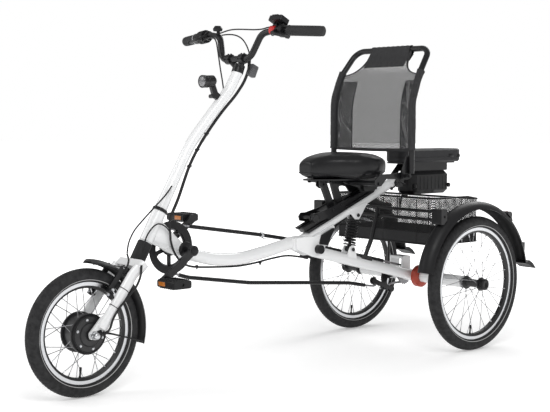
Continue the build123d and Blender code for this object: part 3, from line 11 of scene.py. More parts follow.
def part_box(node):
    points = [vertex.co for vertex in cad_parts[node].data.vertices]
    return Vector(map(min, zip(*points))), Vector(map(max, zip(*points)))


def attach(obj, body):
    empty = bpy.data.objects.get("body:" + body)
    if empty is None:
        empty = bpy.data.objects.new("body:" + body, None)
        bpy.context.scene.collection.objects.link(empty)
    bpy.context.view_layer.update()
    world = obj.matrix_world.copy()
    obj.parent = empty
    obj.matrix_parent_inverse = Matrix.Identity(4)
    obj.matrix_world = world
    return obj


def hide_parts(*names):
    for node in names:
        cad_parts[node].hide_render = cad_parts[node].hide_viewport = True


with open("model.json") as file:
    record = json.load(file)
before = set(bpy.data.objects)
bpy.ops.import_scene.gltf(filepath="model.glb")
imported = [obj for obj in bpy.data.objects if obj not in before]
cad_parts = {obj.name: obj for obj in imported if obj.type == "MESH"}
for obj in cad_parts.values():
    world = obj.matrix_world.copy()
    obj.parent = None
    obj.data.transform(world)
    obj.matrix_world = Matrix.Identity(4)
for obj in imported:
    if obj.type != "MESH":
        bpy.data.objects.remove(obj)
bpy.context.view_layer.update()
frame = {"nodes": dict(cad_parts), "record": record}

nodes = frame["nodes"]
scene = bpy.context.scene

REAR_X = -0.68175              # rear axle in the row frame
SIDES = (("left", 1), ("right", -1))


def at(x, y, z):
    """A point given in millimetres ahead of the rear axle, to the left and up."""
    return Vector((REAR_X + x / 1000, y / 1000, z / 1000))


# ---------- camera, stage and light ----------

CAMERA_PLACE = at(3445, 3039, 853)
CAMERA_YAW = 228.1
CAMERA_PITCH = -4.2
CAMERA_ROLL = 0.23
LENS = 76.75
SENSOR = 36

camera = bpy.data.objects.new("camera", bpy.data.cameras.new("camera"))
scene.collection.objects.link(camera)
camera.data.lens = LENS
camera.data.sensor_width = SENSOR
camera.data.clip_end = 100
camera.location = CAMERA_PLACE
look = Euler((math.radians(90 + CAMERA_PITCH), 0, math.radians(CAMERA_YAW - 90))).to_matrix()
camera.rotation_euler = (look @ Matrix.Rotation(math.radians(CAMERA_ROLL), 3, "Z")).to_euler()
scene.camera = camera
scene.view_settings.view_transform = "Standard"


def sun_panel(name, place, target, size, watts):
    """A soft box that faces the target."""
    lamp = bpy.data.objects.new(name, bpy.data.lights.new(name, "AREA"))
    scene.collection.objects.link(lamp)
    lamp.data.shape = "DISK"
    lamp.data.size = size
    lamp.data.energy = watts
    lamp.location = place
    lamp.rotation_euler = (Vector(target) - Vector(place)).to_track_quat("-Z", "Y").to_euler()
    return lamp


sun_panel("key_light", (1.8, 2.6, 3.4), (0, 0, 0.5), 2.4, 68)
sun_panel("fill_light", (3.2, -2.2, 2.6), (0, 0, 0.5), 2.6, 34)
sun_panel("rear_light", (-3.4, -1.0, 2.9), (0, 0, 0.6), 2.4, 50)

world = bpy.data.worlds.new("studio")
scene.world = world
world.use_nodes = True
backdrop = world.node_tree.nodes["Background"]
seen_directly = world.node_tree.nodes.new("ShaderNodeLightPath").outputs["Is Camera Ray"]
brightness = world.node_tree.nodes.new("ShaderNodeMapRange")
brightness.inputs["To Min"].default_value = 0.48
brightness.inputs["To Max"].default_value = 1.0
world.node_tree.links.new(seen_directly, brightness.inputs["Value"])
world.node_tree.links.new(brightness.outputs["Result"], backdrop.inputs["Strength"])
backdrop.inputs["Color"].default_value = (1, 1, 1, 1)


# ---------- materials ----------

class Look:
    """A procedural material on the Principled shader, built from short calls."""

    def __init__(self, name):
        self.material = bpy.data.materials.new(name)
        self.material.use_nodes = True
        self.tree = self.material.node_tree
        self.shader = self.tree.nodes["Principled BSDF"]
        self.place = self.tree.nodes.new("ShaderNodeTexCoord").outputs["Object"]

    def put(self, socket, value):
        """Sets a socket's number or colour, or links another node's output to it."""
        if isinstance(value, bpy.types.NodeSocket):
            self.tree.links.new(value, socket)
        elif isinstance(value, (tuple, list)) and len(value) == 3 and socket.type == "RGBA":
            socket.default_value = (*value, 1)
        else:
            socket.default_value = value

    def set(self, **values):
        """Sets the shader's own sockets; base_color stands for Base Color."""
        names = {s.name.lower().replace(" ", "_"): s for s in self.shader.inputs}
        for key, value in values.items():
            self.put(names[key], value)
        return self

    def node(self, kind, out=0, **values):
        made = self.tree.nodes.new("ShaderNode" + kind)
        names = {s.name.lower().replace(" ", "_"): s for s in reversed(made.inputs)}
        for key, value in values.items():
            if key in names:
                self.put(names[key], value)
            else:
                setattr(made, key, value)
        return made.outputs[out]

    def math(self, operation, *values):
        made = self.tree.nodes.new("ShaderNodeMath")
        made.operation = operation
        for number, value in enumerate(values):
            self.put(made.inputs[number], value)
        return made.outputs[0]

    def noise(self, scale, detail=3.0, where=None):
        return self.node("TexNoise", vector=where or self.place, scale=scale, detail=detail)

    def span(self, value, low, high, start=0.3, end=0.7):
        """The value's range start to end, mapped on to low to high."""
        return self.node("MapRange", value=value, from_min=start, from_max=end, to_min=low, to_max=high)

    def blend(self, share, first, second):
        made = self.tree.nodes.new("ShaderNodeMix")
        made.data_type = "RGBA"
        self.put(made.inputs[0], share)
        self.put(made.inputs[6], first)
        self.put(made.inputs[7], second)
        return made.outputs[2]

    def bump(self, height, strength, depth):
        made = self.tree.nodes.new("ShaderNodeBump")
        made.inputs["Strength"].default_value = strength
        made.inputs["Distance"].default_value = depth
        self.put(made.inputs["Height"], height)
        self.put(self.shader.inputs["Normal"], made.outputs[0])
        return self

    def drift(self, scale, first, second):
        """Two colours that run into each other in patches."""
        return self.blend(self.span(self.noise(scale), 0, 1), first, second)

    def squeezed(self, x, y, z):
        return self.node("Mapping", vector=self.place, scale=(x, y, z))

    def parts(self):
        """The place's three coordinates."""
        made = self.tree.nodes.new("ShaderNodeSeparateXYZ")
        self.put(made.inputs[0], self.place)
        return made.outputs


DARKEST_PALE = 0.15
DARK_SHEEN = 0.24


def dusty(name, colour, rough, metal=0.0, coat=0.0, tint=0.12, grain=900.0, depth=0.00004, spread=0.06):
    """A plain finish with slow colour drift, uneven gloss and a fine grain."""
    look = Look(name)
    second = tuple(c * (1 - tint) for c in colour)
    look.set(base_color=look.drift(9.0, colour, second), metallic=metal, coat_weight=coat)
    look.set(roughness=look.span(look.noise(40.0), rough - spread, rough + spread))
    if max(colour) < DARKEST_PALE:
        look.set(specular_ior_level=DARK_SHEEN)
    return look.bump(look.noise(grain), 0.5, depth)


def brushed(name, colour, rough, stretch):
    """Metal with fine lines along the axis that is stretched least."""
    look = Look(name)
    lines = look.noise(60.0, 4.0, look.squeezed(*stretch))
    second = tuple(c * 0.8 for c in colour)
    look.set(base_color=look.blend(look.span(lines, 0, 1), colour, second), metallic=1.0)
    look.set(roughness=look.span(lines, rough - 0.07, rough + 0.1))
    return look.bump(lines, 0.3, 0.00003)


def wheel_place(node):
    """Middle and outer radius of a wheel's node."""
    low, high = (Vector(corner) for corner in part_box(node))
    return (low + high) / 2, (high.x - low.x) / 2


WHEELS = {
    "front": ("front_wheel", *wheel_place("front_tyre")),
    "rear_left": ("rear_left_wheel", *wheel_place("rear_left_tyre")),
    "rear_right": ("rear_right_wheel", *wheel_place("rear_right_tyre")),
}
TYRE_WIDTH = 0.047
RIM_LIP = 0.0058               # top of the rim's wall above the bead seat
SILVER = (0.72, 0.73, 0.75)
BLACK = (0.009, 0.009, 0.01)


def outward(look, centre):
    """Distance from a wheel's axis, as a node output."""
    parts = look.parts()
    ahead = look.math("SUBTRACT", parts[0], centre.x)
    above = look.math("SUBTRACT", parts[2], centre.z)
    square = look.math("ADD", look.math("MULTIPLY", ahead, ahead), look.math("MULTIPLY", above, above))
    return look.math("SQRT", square)


def rim_look(name, centre, bead_r):
    """Turned silver braking walls over a black inner part."""
    look = Look(name)
    reach = outward(look, centre)
    silver_share = look.span(reach, 0, 1, bead_r - 0.0058, bead_r - 0.0052)
    rings = look.math("SINE", look.math("MULTIPLY", reach, 9000.0))
    bright = look.blend(look.span(rings, 0, 1, -1, 1), SILVER, tuple(c * 0.86 for c in SILVER))
    dark = look.drift(30.0, BLACK, (0.02, 0.02, 0.021))
    look.set(base_color=look.blend(silver_share, dark, bright))
    look.set(metallic=look.math("MULTIPLY", silver_share, 0.85))
    look.set(roughness=look.span(silver_share, 0.4, 0.3, 0, 1))
    return look.bump(rings, 0.15, 0.00002)


def hub_look(name, centre, flange_r):
    """Black hub body with grey metal spokes outside its flanges."""
    look = Look(name)
    spoke_share = look.span(outward(look, centre), 0, 1, flange_r - 0.001, flange_r + 0.001)
    dark = look.drift(30.0, BLACK, (0.02, 0.02, 0.021))
    look.set(base_color=look.blend(spoke_share, dark, (0.3, 0.3, 0.31)), metallic=spoke_share)
    look.set(roughness=look.span(look.noise(70.0), 0.28, 0.42))
    return look.bump(look.noise(900.0), 0.4, 0.00004)


def tyre_look(name, centre, outer_r):
    """Rubber with fine moulding lines and a pale reflecting line on the sidewall."""
    look = Look(name)
    reach = outward(look, centre)
    foot = outer_r - TYRE_WIDTH + RIM_LIP
    inside = look.span(reach, 1, 0, foot + 0.0078, foot + 0.0082)
    line = look.math("MULTIPLY", inside, look.span(reach, 0, 1, foot + 0.0058, foot + 0.0062))
    dust = look.drift(60.0, (0.014, 0.014, 0.015), (0.03, 0.03, 0.031))
    look.set(base_color=look.blend(line, dust, (0.42, 0.42, 0.42)), specular_ior_level=DARK_SHEEN)
    look.set(roughness=look.span(look.noise(90.0), 0.55, 0.8))
    moulding = look.math("SINE", look.math("MULTIPLY", reach, 4200.0))
    grain = look.math("ADD", look.math("MULTIPLY", moulding, 0.25), look.noise(1500.0))
    return look.bump(grain, 0.5, 0.00012)


def net_look(name, colour, period, wire, solid_below=-1.0, rough=0.7):
    """Open diamond net that turns solid below a height."""
    look = Look(name)
    parts = look.parts()
    level = look.math("ADD", parts[0], parts[1])
    threads = []
    for operation in ("ADD", "SUBTRACT"):
        run = look.math("DIVIDE", look.math(operation, level, parts[2]), period)
        threads.append(look.math("LESS_THAN", look.math("FRACT", run), wire))
    solid = look.math("LESS_THAN", parts[2], solid_below)
    cover = look.math("MAXIMUM", look.math("MAXIMUM", *threads), solid)
    second = tuple(c * 0.6 for c in colour)
    look.set(base_color=look.drift(300.0, colour, second), alpha=cover)
    look.set(roughness=rough, specular_ior_level=DARK_SHEEN)
    return look.bump(look.noise(1200.0), 0.5, 0.0002)


looks = {
    "frame_white": dusty(
        "gloss_white_paint", (0.8, 0.805, 0.81), 0.22, coat=0.6, tint=0.02, grain=260.0, depth=0.00003),
    "black_metal": dusty("satin_black_paint", BLACK, 0.34, coat=0.15, tint=0.3),
    "silver": brushed("satin_aluminium", SILVER, 0.3, (8, 8, 8)),
    "steel": brushed("brushed_steel", (0.26, 0.26, 0.27), 0.36, (12, 2, 12)),
    "red_metal": dusty("red_anodised", (0.5, 0.07, 0.04), 0.34, metal=0.3, tint=0.3),
    "black_plastic": dusty(
        "moulded_black_plastic", (0.011, 0.011, 0.012), 0.42, tint=0.25, grain=1800.0, depth=0.00008),
    "rubber": dusty("soft_black_rubber", (0.02, 0.02, 0.021), 0.6, tint=0.3, grain=1600.0, depth=0.00012),
    "vinyl": dusty("smooth_black_vinyl", BLACK, 0.34, coat=0.1, tint=0.25, grain=1300.0, depth=0.0001),
    "mesh": net_look("basket_net", (0.012, 0.012, 0.013), 0.006, 0.3, solid_below=0.44),
    "battery_case": dusty(
        "grained_battery_case", (0.02, 0.02, 0.022), 0.46, tint=0.2, grain=2200.0, depth=0.0001),
    "lamp": dusty("gloss_lamp_housing", (0.012, 0.012, 0.013), 0.24, coat=0.3),
    "pedal": dusty("pedal_plastic", (0.014, 0.014, 0.015), 0.45, grain=1500.0, depth=0.00008),
    "tyre": dusty("plain_rubber", (0.03, 0.03, 0.032), 0.7),
}


def repaint(node, look):
    """Gives a CAD node a look."""
    for place in nodes[node].material_slots:
        place.material = look.material


for row in frame["record"]["subparts"]:
    repaint(row["node"], looks[row["material_slot"]])


def add(name, mesh, body, slot, *materials):
    """A piece from a finished mesh, with its materials and its body; the slot picks the look when no
    materials are given.
    """
    made = bpy.data.objects.new(name, mesh)
    scene.collection.objects.link(made)
    for look in materials or [looks[slot]]:
        mesh.materials.append(look.material)
    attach(made, body)
    return made


def made_mesh(name, form, smooth=True):
    """A mesh from a bmesh, which is freed."""
    bmesh.ops.recalc_face_normals(form, faces=form.faces)
    mesh = bpy.data.meshes.new(name)
    form.to_mesh(mesh)
    form.free()
    for face in mesh.polygons:
        face.use_smooth = smooth
    return mesh


def piece(name, form, body, slot, *materials, smooth=True):
    """A piece from a bmesh, with its materials and its body; the slot picks the look when no materials are
    given.
    """
    return add(name, made_mesh(name, form, smooth), body, slot, *materials)


def ring_skin(form, rings, closed=True, capped=False, looped=False):
    """Skins rings of points that have the same count; looped joins the last to the first."""
    rows = [[form.verts.new(point) for point in ring] for ring in rings]
    pairs = list(zip(rows, rows[1:])) + ([(rows[-1], rows[0])] if looped else [])
    for low, high in pairs:
        count = len(low)
        for number in range(count if closed else count - 1):
            after = (number + 1) % count
            form.faces.new((low[number], low[after], high[after], high[number]))
    if capped:
        form.faces.new(rows[0][::-1])
        form.faces.new(rows[-1])


def frame_on(direction):
    """Two directions square to a line, the first as level as can be."""
    along = direction.normalized()
    level = along.cross(Vector((0, 0, 1)))
    if level.length < 0.01:
        level = Vector((0, 1, 0))
    level.normalize()
    return level, along.cross(level)


def circle(middle, level, rise, radius, steps):
    """Points round a middle, in the plane of two directions."""
    angles = [math.tau * number / steps for number in range(steps)]
    return [middle + (level * math.cos(a) + rise * math.sin(a)) * radius for a in angles]


POINTED = 1e-5                 # radius of the last ring where a turned solid closes


def turned(form, foot, along, profile, steps=32):
    """A turned solid: profile gives (distance along the axis, radius) in metres."""
    level, rise = frame_on(along)
    axis = along.normalized()
    rings = []
    for distance, radius in profile:
        rings.append(circle(foot + axis * distance, level, rise, max(radius, POINTED), steps))
    ring_skin(form, rings, capped=True)


def turned_piece(name, body, slot, foot, along, profile, steps, *materials):
    """A piece that is one turned solid."""
    form = bmesh.new()
    turned(form, foot, along, profile, steps)
    return piece(name, form, body, slot, *materials)


def hose(form, points, size, steps=12):
    """A tube along points close together; size is a radius, or gives two by share of the tube's run."""
    count = len(points)
    level = None
    rings = []
    for number, point in enumerate(points):
        before = points[max(number - 1, 0)]
        after = points[min(number + 1, count - 1)]
        along = (after - before).normalized()
        level = frame_on(along)[0] if level is None else (level - along * level.dot(along)).normalized()
        rise = along.cross(level)
        wide, tall = size(number / (count - 1)) if callable(size) else (size, size)
        angles = [math.tau * step / steps for step in range(steps)]
        rings.append([point + level * math.cos(a) * wide + rise * math.sin(a) * tall for a in angles])
    ring_skin(form, rings, capped=True)


def smooth_line(points, count):
    """Points evenly spread on a Catmull-Rom curve through the given ones."""
    ends = [points[0] * 2 - points[1]] + list(points) + [points[-1] * 2 - points[-2]]
    dense = []
    for first, second, third, fourth in zip(ends, ends[1:], ends[2:], ends[3:]):
        for number in range(24):
            t = number / 24
            dense.append(0.5 * (
                2 * second + (third - first) * t + (2 * first - 5 * second + 4 * third - fourth) * t ** 2
                + (3 * second - first - 3 * third + fourth) * t ** 3))
    dense.append(points[-1])
    reach = [0.0]
    for start, end in zip(dense, dense[1:]):
        reach.append(reach[-1] + (end - start).length)
    line = []
    place = 0
    for number in range(count):
        goal = reach[-1] * number / (count - 1)
        while place < len(dense) - 2 and reach[place + 1] < goal:
            place += 1
        run = reach[place + 1] - reach[place]
        line.append(dense[place].lerp(dense[place + 1], (goal - reach[place]) / run if run else 0))
    return line


def rounded_box(form, middle, size, corner, turn=None, cuts=3):
    """A box with rounded edges and corners."""
    half = Vector(size) / 2
    box = bmesh.ops.create_cube(form, size=2)["verts"]
    edges = {edge for vert in box for edge in vert.link_edges}
    for vert in box:
        vert.co = Vector([c * h for c, h in zip(vert.co, half)])
    made = bmesh.ops.bevel(
        form, geom=list(edges), offset=min(corner, min(half) * 0.98), segments=cuts, profile=0.5,
        affect="EDGES")
    verts = set(made["verts"]) | {vert for vert in box if vert.is_valid}
    for vert in verts:
        vert.co = (turn @ vert.co if turn else vert.co) + middle


# ---------- floor ----------

FLOOR_R = 40
floor_form = bmesh.new()
bmesh.ops.create_circle(floor_form, cap_ends=True, segments=96, radius=FLOOR_R)
floor = bpy.data.objects.new("floor", made_mesh("floor", floor_form, smooth=False))
scene.collection.objects.link(floor)
floor_look = Look("floor_white")
away = floor_look.node("VectorMath", operation="LENGTH", out=1, vector=floor_look.place)
floor_look.set(
    base_color=floor_look.blend(floor_look.noise(0.8), (0.95, 0.95, 0.95), (0.93, 0.93, 0.93)),
    roughness=0.8, specular_ior_level=0.0, emission_color=(1, 1, 1),
    emission_strength=floor_look.span(away, 0.3, 1.0, 1.2, 3.4))
floor.data.materials.append(floor_look.material)


# ---------- wheels ----------

TREAD_EDGE = math.radians(62)
SECTION_STEPS = 40
BLOCK_PITCH = 0.0131
BLOCK_STEPS = 6                # cross sections of the tyre in one block of its tread
FOOT_HALF = 0.0105             # half the tyre's width at its foot
GROOVE_FROM, GROOVE_TO = 4.6, 6.6   # millimetres from the tyre's middle
GROOVE_DEPTH = 0.0011
SLOT_FROM, SLOT_SLANT, SLOT_SHARE, SLOT_DEPTH = 7.5, 14, 0.24, 0.0014
SIPE_SLANT, SIPE_SHARE, SIPE_DEPTH = 20, 0.06, 0.0008


def tread_depth(phase, angle):
    """How deep the tread is cut, by share of a block round the tyre and angle across it."""
    across = abs(angle) * TYRE_WIDTH / 2 * 1000
    if abs(angle) > TREAD_EDGE:
        return 0.0
    if GROOVE_FROM < across < GROOVE_TO:
        return GROOVE_DEPTH
    slanted = (phase + across / SLOT_SLANT + (0.5 if angle > 0 else 0.0)) % 1
    if across > SLOT_FROM and slanted < SLOT_SHARE:
        return SLOT_DEPTH
    if across < GROOVE_FROM and (phase * 0.5 + across / SIPE_SLANT) % 0.5 < SIPE_SHARE:
        return SIPE_DEPTH
    return 0.0


def tyre_mesh(name, centre, outer_r, blocks):
    """A tyre with a cut tread, its sidewalls down to the rim's walls."""
    section = TYRE_WIDTH / 2
    middle_r = outer_r - section
    foot_angle = math.acos((RIM_LIP - section) / section)
    around = blocks * BLOCK_STEPS
    rings = []
    for step in range(around):
        turn = math.tau * step / around
        out = Vector((math.cos(turn), 0, math.sin(turn)))
        foot = centre + out * (outer_r - TYRE_WIDTH + RIM_LIP)
        ring = [foot - Vector((0, FOOT_HALF, 0))]
        for number in range(SECTION_STEPS + 1):
            angle = foot_angle * (2 * number / SECTION_STEPS - 1)
            reach = section - tread_depth(step % BLOCK_STEPS / BLOCK_STEPS, angle)
            across = Vector((0, reach * math.sin(angle), 0))
            ring.append(centre + out * (middle_r + reach * math.cos(angle)) + across)
        ring.append(foot + Vector((0, FOOT_HALF, 0)))
        rings.append(ring)
    form = bmesh.new()
    ring_skin(form, rings, looped=True)
    return made_mesh(name, form)


SPOKES = 32
SPOKE_LEAN = math.radians(24)
NIPPLE_SIDE = 0.0022           # how far the nipples stand to either side of the rim's middle
RIM_DEPTH = 0.0146
HUB_FLANGES = {"front": (0.0635, 0.027), "rear_left": (0.025, 0.033), "rear_right": (0.025, 0.033)}
VALVE_ANGLE = math.radians(-84.4)

for wheel, (wheel_body, wheel_centre, wheel_r) in WHEELS.items():
    bead = wheel_r - TYRE_WIDTH
    flange_r, flange_y = HUB_FLANGES[wheel]
    blocks = round(math.tau * wheel_r / BLOCK_PITCH)
    tread = tyre_mesh(f"{wheel}_tread", wheel_centre, wheel_r, blocks)
    rubber = tyre_look(f"{wheel}_tyre_rubber", wheel_centre, wheel_r)
    tyre = add(f"{wheel}_tread", tread, wheel_body, "tyre", rubber)
    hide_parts(f"{wheel}_tyre")
    repaint(f"{wheel}_rim", rim_look(f"{wheel}_rim_two_tone", wheel_centre, bead))
    repaint(f"{wheel}_hub", hub_look(f"{wheel}_hub_and_spokes", wheel_centre, flange_r + 0.001))

    nipples = bmesh.new()
    for number in range(SPOKES):
        turn = math.tau * number / SPOKES
        lean = SPOKE_LEAN if number % 4 < 2 else -SPOKE_LEAN
        flank = 1 if number % 2 else -1
        tip = wheel_centre + Vector((math.cos(turn), 0, math.sin(turn))) * (bead - RIM_DEPTH)
        tip += Vector((0, flank * NIPPLE_SIDE, 0))
        root = wheel_centre + Vector((math.cos(turn + lean), 0, math.sin(turn + lean))) * flange_r
        root += Vector((0, flank * flange_y, 0))
        turned(nipples, tip, root - tip, [
            (0, 0), (0, 0.0026), (0.002, 0.0026), (0.003, 0.0019), (0.011, 0.0018), (0.012, 0.0012),
            (0.012, 0)], 8)
    piece(f"{wheel}_nipples", nipples, wheel_body, "silver")

    out = Vector((math.cos(VALVE_ANGLE), 0, math.sin(VALVE_ANGLE)))
    valve_foot = wheel_centre + out * (bead - RIM_DEPTH + 0.001)
    turned_piece(f"{wheel}_valve", wheel_body, "rubber", valve_foot, -out, [
        (0, 0), (0, 0.0045), (0.003, 0.0045), (0.006, 0.003), (0.019, 0.003), (0.02, 0.0042), (0.031, 0.004),
        (0.033, 0.003), (0.033, 0)], 14)


def bolts(name, body, slot, places, smooth=False):
    """Hex heads on washers, joined in one piece; each place is (point, direction, head radius)."""
    form = bmesh.new()
    for point, direction, radius in places:
        along = Vector(direction).normalized()
        turned(form, point, along, [
            (0, 0), (0, radius * 1.35), (radius * 0.2, radius * 1.35), (radius * 0.2, 0)], 20)
        turned(form, point, along, [
            (radius * 0.2, 0), (radius * 0.2, radius), (radius * 0.85, radius), (radius, radius * 0.82),
            (radius, 0)], 6)
        turned(form, point, along, [
            (radius, 0), (radius, radius * 0.5), (radius * 1.1, radius * 0.42), (radius * 1.1, 0)], 12)
    return piece(name, form, body, slot, smooth=smooth)


front_centre = WHEELS["front"][1]
COVER_BOLTS = 6
COVER_BOLT_R = 0.046           # radius of the ring on which the bolts stand
COVER_FACE = 0.0385
cover_bolts = []
for number in range(COVER_BOLTS):
    turn = math.tau * number / COVER_BOLTS + 0.3
    spot = Vector((math.cos(turn), 0, math.sin(turn))) * COVER_BOLT_R
    for sign in (-1, 1):
        cover_bolts.append((front_centre + spot + Vector((0, sign * COVER_FACE, 0)), (0, sign, 0), 0.0032))
bolts("motor_cover_bolts", "front_wheel", "silver", cover_bolts)

motor_rings = bmesh.new()
for sign in (-1, 1):
    side = Vector((0, sign, 0))
    for reach, radius in ((0.0295, 0.0585), (0.0386, 0.0545), (0.0405, 0.035), (0.0445, 0.0165)):
        turned(motor_rings, front_centre + side * reach, side, [
            (-0.002, radius - 0.001), (0.0004, radius - 0.001), (0.0012, radius), (0.0012, radius + 0.002),
            (0.0004, radius + 0.003), (-0.002, radius + 0.003)], 64)
piece("motor_rings", motor_rings, "front_wheel", "black_metal")

AXLE_FACE = 0.0577             # outer face of a fork end, from the wheel's middle
axle_nuts = bmesh.new()
for sign in (-1, 1):
    side = Vector((0, sign, 0))
    foot = front_centre + side * AXLE_FACE
    turned(axle_nuts, foot, side, [(0, 0.006), (0, 0.0125), (0.0025, 0.0125), (0.0025, 0.006)], 28)
    turned(axle_nuts, foot, side, [
        (0.0025, 0), (0.0025, 0.0125), (0.0112, 0.0125), (0.0122, 0.011), (0.0122, 0)], 6)
    turned(axle_nuts, foot, side, [
        (0.012, 0), (0.012, 0.0105), (0.02, 0.0105), (0.0235, 0.009), (0.0255, 0.006), (0.026, 0)], 28)
piece("front_axle_nuts", axle_nuts, "steering", "silver")

HUB_END = 0.0422               # end of a rear hub, from the wheel's middle
for wheel in ("rear_left", "rear_right"):
    wheel_body, wheel_centre, wheel_r = WHEELS[wheel]
    side = Vector((0, 1 if wheel == "rear_left" else -1, 0))
    turned_piece(f"{wheel}_hub_cap", wheel_body, "black_plastic", wheel_centre + side * HUB_END, side, [
        (0, 0.0062), (0, 0.0195), (0.003, 0.021), (0.012, 0.0205), (0.0135, 0.019), (0.0135, 0.008),
        (0.0105, 0.0065)], 36)


# ---------- saddle ----------

SADDLE_RINGS = [            # ahead of the rear axle, half width, underside and top, in millimetres
    (262, 90, 655, 706), (280, 122, 650, 720), (335, 139, 646, 730), (395, 135, 646, 732),
    (455, 101, 646, 729), (512, 64, 648, 723), (556, 45, 651, 714), (580, 34, 655, 704),
]
SADDLE_SWELL = 0.0045          # the furthest that the air pressure may move a point
SADDLE_VOXEL = 0.0055
SADDLE_PRESSURE = 4
SADDLE_FRAMES = 20


def saddle_rings(count, steps):
    """Cross sections of the saddle, flatter below than above."""
    stations = [Vector((x, half, (low + high) / 2)) for x, half, low, high in SADDLE_RINGS]
    heights = [Vector((x, (high - low) / 2, 0)) for x, half, low, high in SADDLE_RINGS]
    rings = []
    for place, height in zip(smooth_line(stations, count), smooth_line(heights, count)):
        ring = []
        for step in range(steps):
            angle = math.tau * step / steps
            flatness = 0.52 if math.sin(angle) > 0 else 0.4
            wide = math.copysign(abs(math.cos(angle)) ** 0.62, math.cos(angle))
            tall = math.copysign(abs(math.sin(angle)) ** flatness, math.sin(angle))
            ring.append(at(place.x, place.y * wide, place.z + height.y * tall))
        rings.append(ring)
    return rings


saddle_form = bmesh.new()
ring_skin(saddle_form, saddle_rings(36, 40), capped=True)
saddle = piece("saddle_cover", saddle_form, "seat", "vinyl")
scene.view_layers[0].objects.active = saddle
remesh = saddle.modifiers.new("remesh", "REMESH")
remesh.mode = "VOXEL"
remesh.voxel_size = SADDLE_VOXEL


def bake(made):
    """Replaces an object's mesh by the result of its modifiers, which are then removed."""
    seen = bpy.context.evaluated_depsgraph_get()
    result = bpy.data.meshes.new_from_object(made.evaluated_get(seen))
    made.modifiers.clear()
    made.data = result
    for face in result.polygons:
        face.use_smooth = True


def thicken(sheet, thickness):
    """Gives a sheet its thickness, half to each side."""
    cover = sheet.modifiers.new("thick", "SOLIDIFY")
    cover.thickness = thickness
    cover.offset = 0
    bake(sheet)


bake(saddle)
rest = [vert.co.copy() for vert in saddle.data.vertices]
cloth = saddle.modifiers.new("cloth", "CLOTH")
cloth.settings.use_pressure = True
cloth.settings.uniform_pressure_force = SADDLE_PRESSURE
cloth.settings.effector_weights.gravity = 0
cloth.settings.quality = 4
for number in range(1, SADDLE_FRAMES + 1):
    scene.frame_set(number)
bake(saddle)
scene.frame_set(1)
for vert, start in zip(saddle.data.vertices, rest):
    moved = vert.co - start
    if moved.length > SADDLE_SWELL:
        vert.co = start + moved.normalized() * SADDLE_SWELL
smoother = saddle.modifiers.new("smooth", "SMOOTH")
smoother.iterations = 3
subdivide = saddle.modifiers.new("subdivide", "SUBSURF")
subdivide.levels = 1
subdivide.render_levels = 1
bake(saddle)
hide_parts("saddle")

saddle_skin = BVHTree.FromObject(saddle, bpy.context.evaluated_depsgraph_get())


def saddle_seam(lean, count=120):
    """Points round the saddle's side, at an angle below or above its middle."""
    stations = [Vector((x, half, low + (high - low) * 0.45)) for x, half, low, high in SADDLE_RINGS]
    outline = smooth_line(stations, count // 2)
    left = [at(p.x, 0, p.z) for p in outline]
    points = []
    for sign, line in ((1, left), (-1, left[::-1])):
        for middle in line:
            aim = Vector((0, sign * math.cos(lean), math.sin(lean)))
            hit = saddle_skin.ray_cast(middle, aim)[0]
            if hit:
                points.append(hit)
    return points


def closed_hose(form, points, radius, steps=8):
    """A tube round a closed line."""
    rings = []
    for number, point in enumerate(points):
        along = (points[(number + 1) % len(points)] - points[number - 1]).normalized()
        level, rise = frame_on(along)
        rings.append(circle(point, level, rise, radius, steps))
    ring_skin(form, rings, looped=True)


def spread(points, count):
    """A closed line's points spread evenly."""
    line = smooth_line(points + [points[0]], count + 1)
    return line[:-1]


piping = bmesh.new()
closed_hose(piping, spread(saddle_seam(math.radians(-24)), 160), 0.0022)
piece("saddle_piping", piping, "seat", "black_plastic")


# ---------- backrest ----------

POST_Y = 200
LINE_POINTS = 200
BACK_HALF = 187                # half the fabric's width below its corners
BACK_LINE = [
    (230.5, 743), (230.5, 800), (230.5, 860), (229, 905), (221, 945), (208, 985), (190, 1026), (167, 1058),
    (139, 1095)]
CLOTH_THICKNESS = 0.0011
SLEEVE_TOP = 1034
SLEEVE_SHARE = 0.7             # how much of the back's line the sleeves take up
SLEEVE_R = 0.0136
FLAP_END = 192
FLAP_BACK = -20                # how far the flaps' inner edges lie behind the panel
LOWER_HALF = 196
HEM_STEPS = 40
WEAVE = 5200.0
GIVE = 6
STRIP_Y = 125
CORNER_R = 66                  # height of the cut at an upper corner
CORNER_CUT = 83                # width of that cut
CORNER_Z = 1090


def half_width(z):
    """Half the fabric's width at a height: cut away round at the upper corners."""
    if z < CORNER_Z - CORNER_R:
        return BACK_HALF
    return BACK_HALF - CORNER_CUT / CORNER_R * math.sqrt(max(CORNER_R ** 2 - (CORNER_Z - z) ** 2, 0))


def back_curve():
    """The fabric's middle line, as points close together."""
    return smooth_line([Vector((x, 0, z)) for x, z in BACK_LINE], LINE_POINTS)


def fabric_strip(name, inner, outer, ahead, rows, columns, low=0.0, high=1.0, ripple=0.0):
    """A strip of fabric along the back's line, between two edges that are functions of height."""
    line = back_curve()
    form = bmesh.new()
    rings = []
    for row in range(rows + 1):
        share = low + (high - low) * row / rows
        place = line[round(share * (LINE_POINTS - 1))]
        ring = []
        for column in range(columns + 1):
            across = column / columns
            y = inner(place.z) + (outer(place.z) - inner(place.z)) * across
            fold = ripple * math.sin(place.z * 0.045 + y * 0.09) * math.sin(math.pi * across)
            ring.append(at(place.x + ahead(across) + fold, y, place.z))
        rings.append(ring)
    ring_skin(form, rings, closed=False)
    return made_mesh(name, form)


